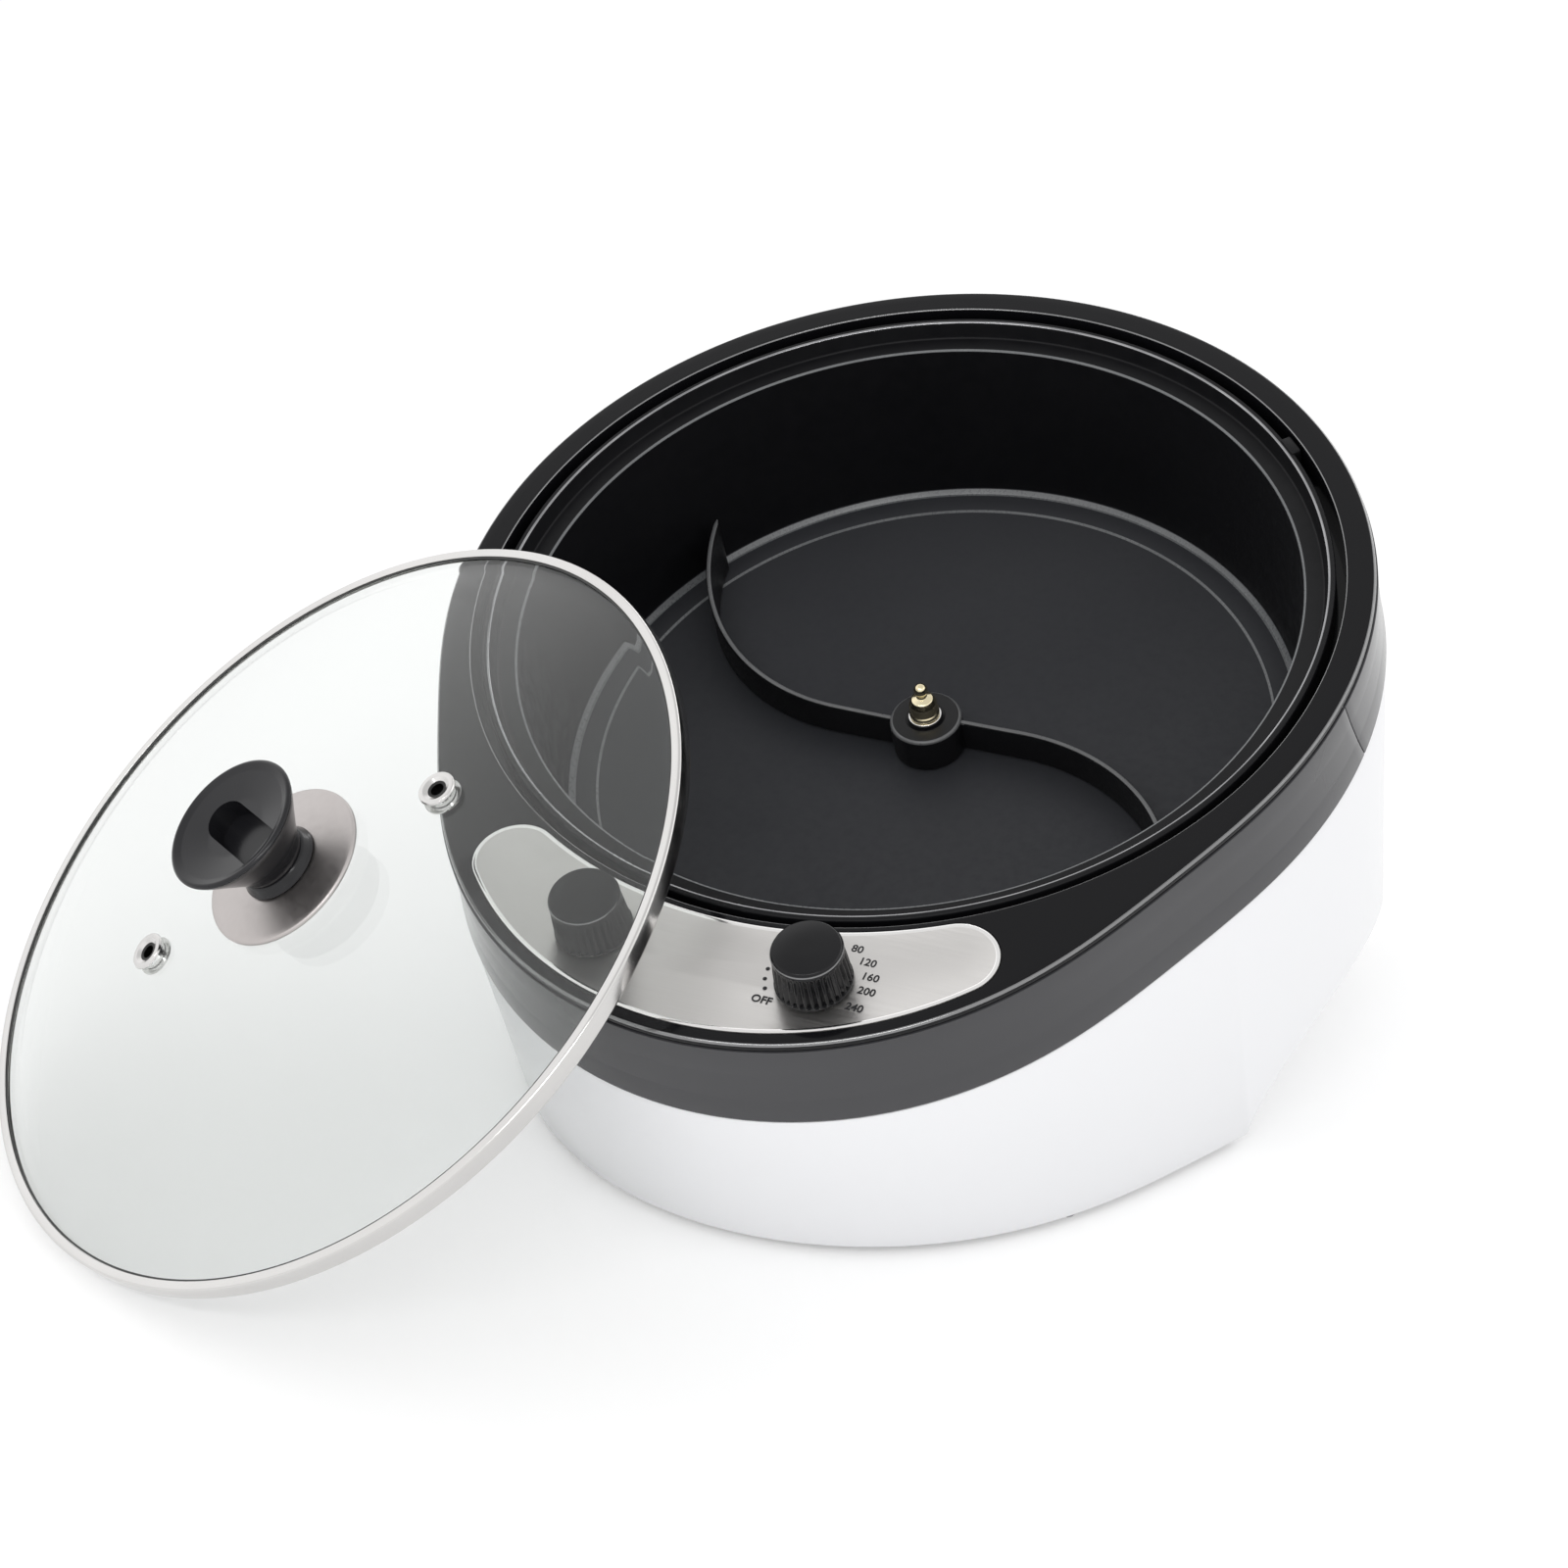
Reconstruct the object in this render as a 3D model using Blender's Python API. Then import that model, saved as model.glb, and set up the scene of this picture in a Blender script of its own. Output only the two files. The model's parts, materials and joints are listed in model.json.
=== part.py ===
"""Home coffee bean roaster: a sloping deck over a round bowl with a stirring arm, and a glass lid.

The part stands on its feet at z = 0, with its controls towards -Y. The bowl's axis passes
through (0, 0, DECK_HEIGHT) and leans forward by DECK_TILT. The lid leans on the left knob.
"""
import math

import bmesh
import bpy
from mathutils import Matrix, Vector

# Fits and small allowances
FIT = 0.0003
OVERRUN = 0.004
TURN_FIT = 0.0004
BODY_FIT = 0.0004

# Bowl
BOWL_RADIUS = 0.125
BOWL_WALL = 0.0018
BOWL_TAPER = 0.0024
BOWL_DEPTH = 0.0715
SEAT_DEPTH = 0.0073
SEAT_WIDTH = 0.0065
SEAT_EDGE = 0.0008
LIP_MARGIN = 0.0088
LIP_RADIUS = BOWL_RADIUS + LIP_MARGIN
LIP_DEPTH = 0.0013
LIP_HALF_WIDTH = 0.0012
FLANGE_DEPTH = 0.0093
FLOOR_MARGIN = 0.0114
FLOOR_RADIUS = BOWL_RADIUS - FLOOR_MARGIN
FLOOR_STEP = 0.0013
TAB_ANGLE = math.radians(133.6)
TAB_WIDTH = 0.008
TAB_GAP = 0.0009
TAB_TOP = 0.0007

# Deck: slope, outline and plate
DECK_HEIGHT = 0.160
DECK_TILT = math.radians(22.4)
HOLE_MARGIN = 0.0044
DECK_HOLE_RADIUS = LIP_RADIUS + HOLE_MARGIN
DECK_MARGIN = 0.0096
REAR_RADIUS = DECK_HOLE_RADIUS + DECK_MARGIN
NOSE_NARROWING = 0.0331
NOSE_RADIUS = REAR_RADIUS - NOSE_NARROWING
NOSE_OFFSET = 0.0696
OUTLINE_BLEND = 0.009
DECK_PLATE = 0.0025
DECK_EDGE = 0.0015
DECK_HOLE_EDGE = 0.0004
LEDGE_WIDTH = 0.0087
LEDGE_WALL = 0.0024
TONGUE_DEPTH = 0.006
TONGUE_WALL = 0.002

# Band under the deck's edge
BAND_DEPTH = 0.033
BAND_WALL = 0.0025
BAND_FLARE = 0.0018
BAND_FLARE_SHARES = ((0.0, 0.0), (0.35, 0.12), (0.7, 0.45), (1.0, 1.0))
PARTING_TOP = 0.0133
PARTING_BOTTOM = 0.0024

# White housing
BODY_PROUD = 0.0015
BODY_WALL = 0.0026
BASE_LEVEL = 0.003
LEAN_START = math.radians(60.0)
LEAN_END = math.radians(180.0)
RECESS_MIDDLE = 0.051
RECESS_HALF_LENGTH = 0.070
RECESS_HEIGHT = 0.051
RECESS_INSET = 0.0298
RECESS_FLOOR = REAR_RADIUS - RECESS_INSET
BOSS_RADIUS = 0.005
BOSS_BITE = 0.0015
BOSS_HEIGHT = 0.014
BOSS_ANGLES = tuple(math.radians(angle) for angle in (35.0, 150.0, 210.0, 325.0))

# Base cover, feet and their screws
COVER_LEVEL = 0.002
COVER_WALL = 0.0024
FOOT_RADIUS = 0.007
FOOT_SIDE_SHARE = 0.52774
FOOT_REAR_SHARE = 0.66306
FOOT_X = REAR_RADIUS * FOOT_SIDE_SHARE
FOOT_FRONT = REAR_RADIUS * FOOT_SIDE_SHARE
FOOT_REAR = REAR_RADIUS * FOOT_REAR_SHARE
SCREW_RADIUS = 0.0013
SCREW_HEAD_RADIUS = 0.0028
SCREW_HEAD_HEIGHT = 0.0014
SCREW_LENGTH = 0.011

# Control panel and knobs
PANEL_INNER_GAP = 0.0021
PANEL_OUTER_GAP = 0.0047
PANEL_END_RADIUS = 0.013
PANEL_WALL = 0.0012
PANEL_SEAT = 0.0012
KNOB_SPACING = 0.070
KNOB_HEIGHT = 0.0195
KNOB_FOOT_GAP = 0.0005
KNOB_SKIRT_RADIUS = 0.0125
KNOB_SKIRT_HEIGHT = 0.0024
KNOB_RADIUS = 0.0111
KNOB_TOP_RADIUS = 0.0097
KNOB_FLUTE = 0.0006
KNOB_FLUTES = 24
KNOB_SHOULDER = 0.0014
KNOB_SOCKET = 0.010
SPINDLE_RADIUS = 0.003
SPINDLE_SEAT = 0.010
SPINDLE_HOLE = 0.0012
THERMOSTAT_LENGTH = 0.031
THERMOSTAT_WIDTH = 0.020
THERMOSTAT_HEIGHT = 0.018
SWITCH_RADIUS = 0.011
SWITCH_HEIGHT = 0.016

# Stirrer
HUB_RADIUS = 0.012
HUB_HEIGHT = 0.013
HUB_GAP = 0.0006
HUB_EDGE = 0.0012
SHAFT_RADIUS = 0.003
ARM_STRAIGHT_SHARE = 0.256
ARM_STRAIGHT = BOWL_RADIUS * ARM_STRAIGHT_SHARE
ARM_START = -0.002
ARM_CURVE_SHARE = 0.56
ARM_CURVE_RADIUS = BOWL_RADIUS * ARM_CURVE_SHARE
ARM_SWEEP = math.radians(85.0)
ARM_WALL = 0.002
ARM_GAP = 0.002
ARM_ROOT_HEIGHT = 0.0125
ARM_TIP_HEIGHT = 0.024
ARM_RISE_POWER = 2.6
WASHER_RADIUS = 0.0055
WASHER_WALL = 0.001
NUT_RADIUS = 0.005
NUT_HEIGHT = 0.008
NUT_NECK_RADIUS = 0.0016
NUT_NECK_HEIGHT = 0.0012
NUT_SOCKET = 0.005
BALL_RADIUS = 0.00235

# Under the bowl
BUSH_RADIUS = 0.006
BUSH_FLANGE_RADIUS = 0.010
BUSH_FLANGE_WALL = 0.002
ELEMENT_RING_SHARE = 0.6
ELEMENT_RING_RADIUS = BOWL_RADIUS * ELEMENT_RING_SHARE
ELEMENT_RADIUS = 0.0035
ELEMENT_SWEEP = math.radians(330.0)
SHIELD_INSET = 0.015
SHIELD_RADIUS = BOWL_RADIUS - SHIELD_INSET
SHIELD_WALL = 0.001
SHIELD_BORE = 0.016
HANGER_WIDTH = 0.030
HANGER_WALL = 0.002
HANGER_GAP = 0.004
HANGER_FOOT = 0.006
HANGER_BORE = 0.008
MOTOR_RADIUS = 0.030
MOTOR_HEIGHT = 0.035
MOTOR_EDGE = 0.002
MOTOR_EAR_RADIUS = 0.036
MOTOR_EAR_WALL = 0.002
MOTOR_SCREW_OFFSET = 0.033
MOTOR_SEAT = 0.012
MOTOR_SCREW_LENGTH = 0.0035
FUSE_RADIUS = 0.002
FUSE_LENGTH = 0.012
FUSE_OFFSET = 0.055

# Wiring parts in the base
BLOCK_LENGTH = 0.034
BLOCK_WIDTH = 0.016
BLOCK_HEIGHT = 0.014
BLOCK_X = -0.045
BLOCK_INSET = 0.0628
BLOCK_Y = REAR_RADIUS - BLOCK_INSET
GLAND_HEIGHT = 0.026
GLAND_RADIUS = 0.006
GLAND_FLANGE_RADIUS = 0.009
GLAND_FLANGE_WALL = 0.003

# Lid
LID_OVERLAP = 0.0052
LID_RADIUS = BOWL_RADIUS + LID_OVERLAP
GLASS_WALL = 0.0038
GLASS_DOME = 0.018
RIM_WIDTH = 0.006
RIM_WALL = 0.0008
RIM_EDGE = 0.0004
GLASS_BORE = 0.0035
LID_REST_SHARE = 1.428
LID_TURN = math.radians(240.0)
LID_SIDE_SHARE = 0.655
LID_REST_GAP = 0.0005
VENT_PLACE_RADIUS = 0.055
VENT_TURN = math.radians(57.5)
VENT_BORE = 0.0021
VENT_SLEEVE = 0.0042
VENT_RING_RADIUS = 0.0062
VENT_RING_WALL = 0.0009
LID_PLATE_RADIUS = 0.026
LID_PLATE_WALL = 0.0012
COLLAR_RADIUS = 0.0135
COLLAR_RIM = 0.0015
COLLAR_WAIST_RADIUS = 0.01075
COLLAR_HEIGHT = 0.008
LID_KNOB_RADIUS = 0.021
LID_KNOB_HEIGHT = 0.018
LID_KNOB_FLARE_SHARES = ((0.0, 0.0), (0.25, 0.06), (0.5, 0.28), (0.72, 0.66), (0.86, 0.93))
LID_KNOB_RIM = 0.0022
LID_KNOB_DISH = 0.0028
LID_KNOB_DISH_RADIUS = 0.0165
SLOT_HALF_WIDTH = 0.006
SLOT_START = 0.0115
SLOT_DEPTH = 0.0125
LID_SCREW_RADIUS = 0.0016
LID_SCREW_BITE = 0.006
LID_SCREW_HEAD_RADIUS = 0.004
LID_SCREW_HEAD_HEIGHT = 0.0025
LID_WASHER_RADIUS = 0.009
LID_WASHER_WALL = 0.0012

# Counts of facets
OUTLINE_STEPS = 60
ROUND_STEPS = 52
MIDDLE_STEPS = 32
SMALL_STEPS = 16
TINY_STEPS = 12
ARM_STEPS = 12
DOME_STEPS = 5
END_STEPS = 8
BALL_STEPS = 5
ANGLE_STEP = 0.001
SHARP_ANGLE = math.radians(35.0)
MERGE = 0.000001
SETTLE_ROUNDS = 30

# Finishes: colour, roughness, metallic
GLOSS_BLACK = ((0.012, 0.012, 0.014, 1.0), 0.12, 0.0)
MATT_BLACK = ((0.018, 0.018, 0.020, 1.0), 0.55, 0.0)
WHITE = ((0.86, 0.87, 0.90, 1.0), 0.28, 0.0)
STEEL = ((0.62, 0.61, 0.59, 1.0), 0.28, 1.0)
DARK_STEEL = ((0.30, 0.30, 0.31, 1.0), 0.40, 1.0)
BRASS = ((0.80, 0.62, 0.32, 1.0), 0.25, 1.0)
RUBBER = ((0.02, 0.02, 0.02, 1.0), 0.80, 0.0)
GLASS = ((0.88, 0.93, 0.90, 0.25), 0.03, 0.0)
CREAM = ((0.75, 0.72, 0.64, 1.0), 0.50, 0.0)

# Levels below the deck's face, worked out from the sizes above
SEAM_DEPTH = BAND_DEPTH + FIT
LEDGE_DEPTH = FLANGE_DEPTH + FIT
LEDGE_UNDERSIDE = LEDGE_DEPTH + LEDGE_WALL
LEDGE_RADIUS = DECK_HOLE_RADIUS - LEDGE_WIDTH
LEDGE_OUTER = DECK_HOLE_RADIUS + LEDGE_WALL
BOWL_UNDERSIDE = BOWL_DEPTH + BOWL_WALL
ELEMENT_DEPTH = BOWL_UNDERSIDE + FIT + ELEMENT_RADIUS
SHIELD_DEPTH = ELEMENT_DEPTH + ELEMENT_RADIUS + FIT
HANGER_DEPTH = SHIELD_DEPTH + SHIELD_WALL + FIT
MOTOR_DEPTH = HANGER_DEPTH + HANGER_WALL + FIT
HUB_TOP = BOWL_DEPTH - HUB_GAP - HUB_HEIGHT
WASHER_TOP = HUB_TOP - FIT - WASHER_WALL
NUT_TOP = WASHER_TOP - FIT - NUT_HEIGHT
RIM_HEIGHT = GLASS_WALL + 2.0 * (RIM_WALL + FIT)
GLASS_TOP = -(RIM_WALL + FIT)
GLASS_BOTTOM = GLASS_TOP - GLASS_WALL
DOME_RADIUS = LID_RADIUS - RIM_WIDTH
COVER_TOP = COVER_LEVEL + COVER_WALL


def clear_scene():
    """Remove everything that the file opened with."""
    for item in list(bpy.data.objects):
        bpy.data.objects.remove(item, do_unlink=True)


def make_material(name, finish):
    """Make one Principled material from a finish."""
    colour, roughness, metallic = finish
    material = bpy.data.materials.new(name + "_finish")
    material.use_nodes = True
    shader = material.node_tree.nodes["Principled BSDF"]
    shader.inputs["Base Color"].default_value = colour
    shader.inputs["Roughness"].default_value = roughness
    shader.inputs["Metallic"].default_value = metallic
    shader.inputs["Alpha"].default_value = colour[3]
    return material


def make_frame(name, matrix, parent=None):
    """Add an empty that carries pieces."""
    frame = bpy.data.objects.new(name, None)
    frame.empty_display_size = HUB_RADIUS
    bpy.context.scene.collection.objects.link(frame)
    frame.parent = parent
    frame.matrix_local = matrix
    return frame


def finish_piece(name, bm, finish, parent=None, place=None):
    """Turn a bmesh into a shaded object with its own material."""
    bmesh.ops.remove_doubles(bm, verts=bm.verts, dist=MERGE)
    bmesh.ops.recalc_face_normals(bm, faces=bm.faces)
    mesh = bpy.data.meshes.new(name)
    bm.to_mesh(mesh)
    bm.free()
    mesh.shade_smooth()
    mesh.set_sharp_from_angle(angle=SHARP_ANGLE)
    if finish is not None:
        mesh.materials.append(make_material(name, finish))
    piece = bpy.data.objects.new(name, mesh)
    bpy.context.scene.collection.objects.link(piece)
    piece.parent = parent
    if place is not None:
        piece.matrix_local = place
    return piece


def skin(name, rings, finish, wrap=False, parent=None, place=None, twisted=False):
    """Make a solid through closed rings of points, capped at both ends unless it wraps."""
    bm = bmesh.new()
    loops = [[bm.verts.new(point) for point in ring] for ring in rings]
    pairs = list(zip(loops, loops[1:]))
    if wrap:
        pairs.append((loops[-1], loops[0]))
    for lower, upper in pairs:
        for index, vertex in enumerate(lower):
            after = (index + 1) % len(lower)
            bm.faces.new((vertex, lower[after], upper[after], upper[index]))
    if not wrap:
        bm.faces.new(loops[0])
        bm.faces.new(loops[-1])
    if twisted:
        bmesh.ops.triangulate(bm, faces=[face for face in bm.faces if len(face.verts) == 4])
    return finish_piece(name, bm, finish, parent, place)


def turned(name, profile, finish, steps=ROUND_STEPS, parent=None, place=None):
    """Spin a closed profile of (radius, height) points round the local Z axis."""
    bm = bmesh.new()
    points = [bm.verts.new((radius, 0.0, height)) for radius, height in profile]
    edges = []
    for index, vertex in enumerate(points):
        after = (index + 1) % len(points)
        on_axis = profile[index][0] == 0.0 and profile[after][0] == 0.0
        if not on_axis:
            edges.append(bm.edges.new((vertex, points[after])))
    bmesh.ops.spin(
        bm,
        geom=points + edges,
        cent=(0.0, 0.0, 0.0),
        axis=(0.0, 0.0, 1.0),
        angle=math.tau,
        steps=steps,
        use_merge=True,
    )
    bmesh.ops.remove_doubles(bm, verts=bm.verts, dist=MERGE)
    bmesh.ops.dissolve_degenerate(bm, dist=MERGE, edges=bm.edges)
    return finish_piece(name, bm, finish, parent, place)


def box(name, lower, upper, finish, parent=None, place=None):
    """Make a box between two corners."""
    bm = bmesh.new()
    bmesh.ops.create_cube(bm, size=1.0)
    for vertex in bm.verts:
        for axis in range(3):
            vertex.co[axis] = upper[axis] if vertex.co[axis] > 0.0 else lower[axis]
    return finish_piece(name, bm, finish, parent, place)


def hide_cutter(cutter):
    """Keep a cutter out of the model."""
    cutter.hide_render = True
    cutter.display_type = "WIRE"


def boolean(piece, other, operation="DIFFERENCE"):
    """Cut a piece by another, or join the other to it."""
    modifier = piece.modifiers.new(operation.lower() + "_" + other.name, "BOOLEAN")
    modifier.operation = operation
    modifier.solver = "EXACT"
    modifier.object = other
    hide_cutter(other)


def cylinder_profile(radius, bottom, top):
    """Give the profile of a plain solid cylinder."""
    return [(0.0, bottom), (radius, bottom), (radius, top), (0.0, top)]


def bore(piece, name, radius, bottom, top, parent=None, place=None):
    """Drill a round hole through a piece."""
    profile = cylinder_profile(radius, bottom, top)
    boolean(piece, turned(name, profile, None, TINY_STEPS, parent, place))


def outline_radius(angle):
    """Give the deck's reach at an angle that starts at the front and runs to the right."""
    side = NOSE_OFFSET * math.sin(angle)
    half_chord = math.sqrt(max(NOSE_RADIUS ** 2 - side ** 2, 0.0))
    nose = NOSE_OFFSET * math.cos(angle) + half_chord
    longest = max(nose, REAR_RADIUS)
    total = math.exp((nose - longest) / OUTLINE_BLEND)
    total += math.exp((REAR_RADIUS - longest) / OUTLINE_BLEND)
    return longest + OUTLINE_BLEND * math.log(total)


def outline_spot(angle):
    """Give a point of the deck's outline."""
    reach = outline_radius(angle)
    return Vector((reach * math.sin(angle), -reach * math.cos(angle)))


def outline_point(angle, offset):
    """Give a point at an even distance outside the deck's outline."""
    run = outline_spot(angle + ANGLE_STEP) - outline_spot(angle - ANGLE_STEP)
    normal = Vector((run.y, -run.x)).normalized()
    return outline_spot(angle) + offset * normal


def outline_angles():
    """Give the angles of the outline's points."""
    return [math.tau * index / OUTLINE_STEPS for index in range(OUTLINE_STEPS)]


def outline_ring(offset, depth):
    """Give a ring that follows the outline, at a depth under the deck's face."""
    ring = []
    for angle in outline_angles():
        spot = outline_point(angle, offset)
        ring.append((spot.x, spot.y, -depth))
    return ring


def round_ring(radius, depth):
    """Give a ring round the bowl's axis with as many points as the outline."""
    ring = []
    for angle in outline_angles():
        ring.append((radius * math.sin(angle), -radius * math.cos(angle), -depth))
    return ring


def deck_matrix():
    """Give the place of the deck's frame."""
    turn = Matrix.Rotation(DECK_TILT, 4, "X")
    return Matrix.Translation((0.0, 0.0, DECK_HEIGHT)) @ turn


def body_point(angle, offset, level=None, depth=None):
    """Give a point of the housing's wall, at a height or at a depth under the deck."""
    spot = outline_point(angle, offset)
    start = deck_matrix() @ Vector((spot.x, spot.y, -SEAM_DEPTH))
    inward = deck_matrix().to_3x3() @ Vector((0.0, 0.0, -1.0))
    fold = min(angle, math.tau - angle)
    share = min(max((fold - LEAN_START) / (LEAN_END - LEAN_START), 0.0), 1.0)
    blend = share * share * (3.0 - 2.0 * share)
    run = inward.lerp(Vector((0.0, 0.0, -1.0)), blend).normalized()
    if level is not None:
        return start + run * ((start.z - level) / -run.z)
    return start + run * ((depth - SEAM_DEPTH) / run.dot(inward))


def body_ring(offset, level=None, depth=None):
    """Give a ring of the housing's wall."""
    return [body_point(angle, offset, level, depth) for angle in outline_angles()]


def recess_cutter(name, side, grow):
    """Make the elliptic cutter of one side recess, enlarged by a wall."""
    rings = []
    for reach in (RECESS_FLOOR - grow, REAR_RADIUS + BODY_WALL + OVERRUN):
        ring = []
        for index in range(MIDDLE_STEPS):
            angle = math.tau * index / MIDDLE_STEPS
            along = RECESS_MIDDLE + (RECESS_HALF_LENGTH + grow) * math.cos(angle)
            height = (RECESS_HEIGHT + grow) * math.sin(angle)
            ring.append((side * reach, along, height))
        rings.append(ring)
    return skin(name, rings, None)


def boss_place(angle):
    """Give the middle of a screw boss beside the housing's wall."""
    inset = BODY_PROUD - BODY_WALL - BOSS_RADIUS + BOSS_BITE
    return body_point(angle, inset, level=COVER_TOP + FIT)


def build_body():
    """Build the white housing: a wall open above and below, recesses and screw bosses."""
    outer = [body_ring(BODY_PROUD, depth=SEAM_DEPTH), body_ring(BODY_PROUD, level=BASE_LEVEL)]
    shell = skin("body_shell", outer, WHITE, twisted=True)
    inner_offset = BODY_PROUD - BODY_WALL
    inner = [
        body_ring(inner_offset, depth=SEAM_DEPTH - OVERRUN),
        body_ring(inner_offset, level=BASE_LEVEL - OVERRUN),
    ]
    cavity = skin("body_cavity", inner, None, twisted=True)
    for side, label in ((-1.0, "left"), (1.0, "right")):
        boolean(cavity, recess_cutter("recess_wall_" + label, side, BODY_WALL))
    boolean(shell, cavity)
    for index, angle in enumerate(BOSS_ANGLES):
        middle = boss_place(angle)
        place = Matrix.Translation(middle)
        boss = turned("boss_%d" % index, cylinder_profile(BOSS_RADIUS, 0.0, BOSS_HEIGHT),
                      None, TINY_STEPS, None, place)
        boolean(shell, boss, "UNION")
    for side, label in ((-1.0, "left"), (1.0, "right")):
        boolean(shell, recess_cutter("recess_" + label, side, 0.0))
    for index, angle in enumerate(BOSS_ANGLES):
        place = Matrix.Translation(boss_place(angle))
        bore(shell, "boss_bore_%d" % index, SCREW_RADIUS + FIT, -OVERRUN,
             SCREW_LENGTH - FIT, None, place)
    gland_turn = gland_matrix()
    reach = BODY_WALL + OVERRUN
    bore(shell, "gland_hole", GLAND_RADIUS + FIT, -reach, reach, None, gland_turn)


def gland_matrix():
    """Give the place of the cord gland, on the back wall's outer face and pointing back."""
    wall = body_point(math.pi, BODY_PROUD, level=GLAND_HEIGHT)
    turn = Matrix.Rotation(math.radians(-90.0), 4, "X")
    return Matrix.Translation(wall) @ turn


def build_cover():
    """Build the base cover with its screws and feet."""
    offset = BODY_PROUD - BODY_WALL - BODY_FIT
    rings = [body_ring(offset, level=COVER_TOP), body_ring(offset, level=COVER_LEVEL)]
    cover = skin("base_cover", rings, MATT_BLACK, twisted=True)
    for side, label in ((-1.0, "left"), (1.0, "right")):
        boolean(cover, recess_cutter("cover_recess_" + label, side, BODY_WALL + BODY_FIT))
    for index, angle in enumerate(BOSS_ANGLES):
        middle = boss_place(angle)
        ground = Matrix.Translation((middle.x, middle.y, COVER_LEVEL))
        bore(cover, "cover_bore_%d" % index, SCREW_RADIUS + FIT, -OVERRUN,
             COVER_WALL + OVERRUN, None, ground)
        head = COVER_LEVEL - FIT - SCREW_HEAD_HEIGHT
        profile = [
            (0.0, head),
            (SCREW_HEAD_RADIUS, head),
            (SCREW_HEAD_RADIUS, COVER_LEVEL - FIT),
            (SCREW_RADIUS, COVER_LEVEL - FIT),
            (SCREW_RADIUS, COVER_LEVEL + SCREW_LENGTH),
            (0.0, COVER_LEVEL + SCREW_LENGTH),
        ]
        place = Matrix.Translation((middle.x, middle.y, 0.0))
        turned("base_screw_%d" % (index + 1), profile, STEEL, TINY_STEPS, None, place)
    spots = ((-FOOT_X, -FOOT_FRONT), (FOOT_X, -FOOT_FRONT), (FOOT_X, FOOT_REAR),
             (-FOOT_X, FOOT_REAR), (0.0, 0.0))
    for index, spot in enumerate(spots):
        profile = cylinder_profile(FOOT_RADIUS, 0.0, COVER_LEVEL - FIT)
        place = Matrix.Translation((spot[0], spot[1], 0.0))
        turned("foot_%d" % (index + 1), profile, RUBBER, SMALL_STEPS, None, place)


def panel_ring(grow, depth):
    """Give the crescent panel's outline, enlarged evenly."""
    inner = DECK_HOLE_RADIUS + PANEL_INNER_GAP
    outer = NOSE_RADIUS - PANEL_OUTER_GAP
    far = inner + PANEL_END_RADIUS
    near = outer - PANEL_END_RADIUS
    end_y = (near ** 2 - far ** 2 - NOSE_OFFSET ** 2) / (2.0 * NOSE_OFFSET)
    end_x = math.sqrt(far ** 2 - end_y ** 2)
    end = Vector((end_x, end_y))
    nose = Vector((0.0, -NOSE_OFFSET))
    inner_angle = math.atan2(end.x, -end.y)
    outer_run = end - nose
    outer_angle = math.atan2(outer_run.x, -outer_run.y)
    steps = 2 * END_STEPS
    ring = []
    for index in range(steps + 1):
        angle = inner_angle * (2.0 * index / steps - 1.0)
        reach = inner - grow
        ring.append((reach * math.sin(angle), -reach * math.cos(angle)))
    turn_start = inner_angle + math.pi
    for index in range(1, END_STEPS):
        angle = turn_start - (turn_start - outer_angle) * index / END_STEPS
        reach = PANEL_END_RADIUS + grow
        ring.append((end.x + reach * math.sin(angle), end.y - reach * math.cos(angle)))
    for index in range(steps + 1):
        angle = outer_angle * (1.0 - 2.0 * index / steps)
        reach = outer + grow
        ring.append((reach * math.sin(angle), nose.y - reach * math.cos(angle)))
    for index in range(1, END_STEPS):
        angle = outer_angle + (turn_start - outer_angle) * index / END_STEPS
        reach = PANEL_END_RADIUS + grow
        ring.append((-end.x - reach * math.sin(angle), end.y - reach * math.cos(angle)))
    return [(x, y, -depth) for x, y in ring]


def knob_spot(side):
    """Give a control knob's place, midway across the panel."""
    across = side * KNOB_SPACING / 2.0
    inner = DECK_HOLE_RADIUS + PANEL_INNER_GAP
    outer = NOSE_RADIUS - PANEL_OUTER_GAP
    near = -math.sqrt(inner ** 2 - across ** 2)
    far = -NOSE_OFFSET - math.sqrt(outer ** 2 - across ** 2)
    return Vector((across, (near + far) / 2.0, 0.0))


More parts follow.
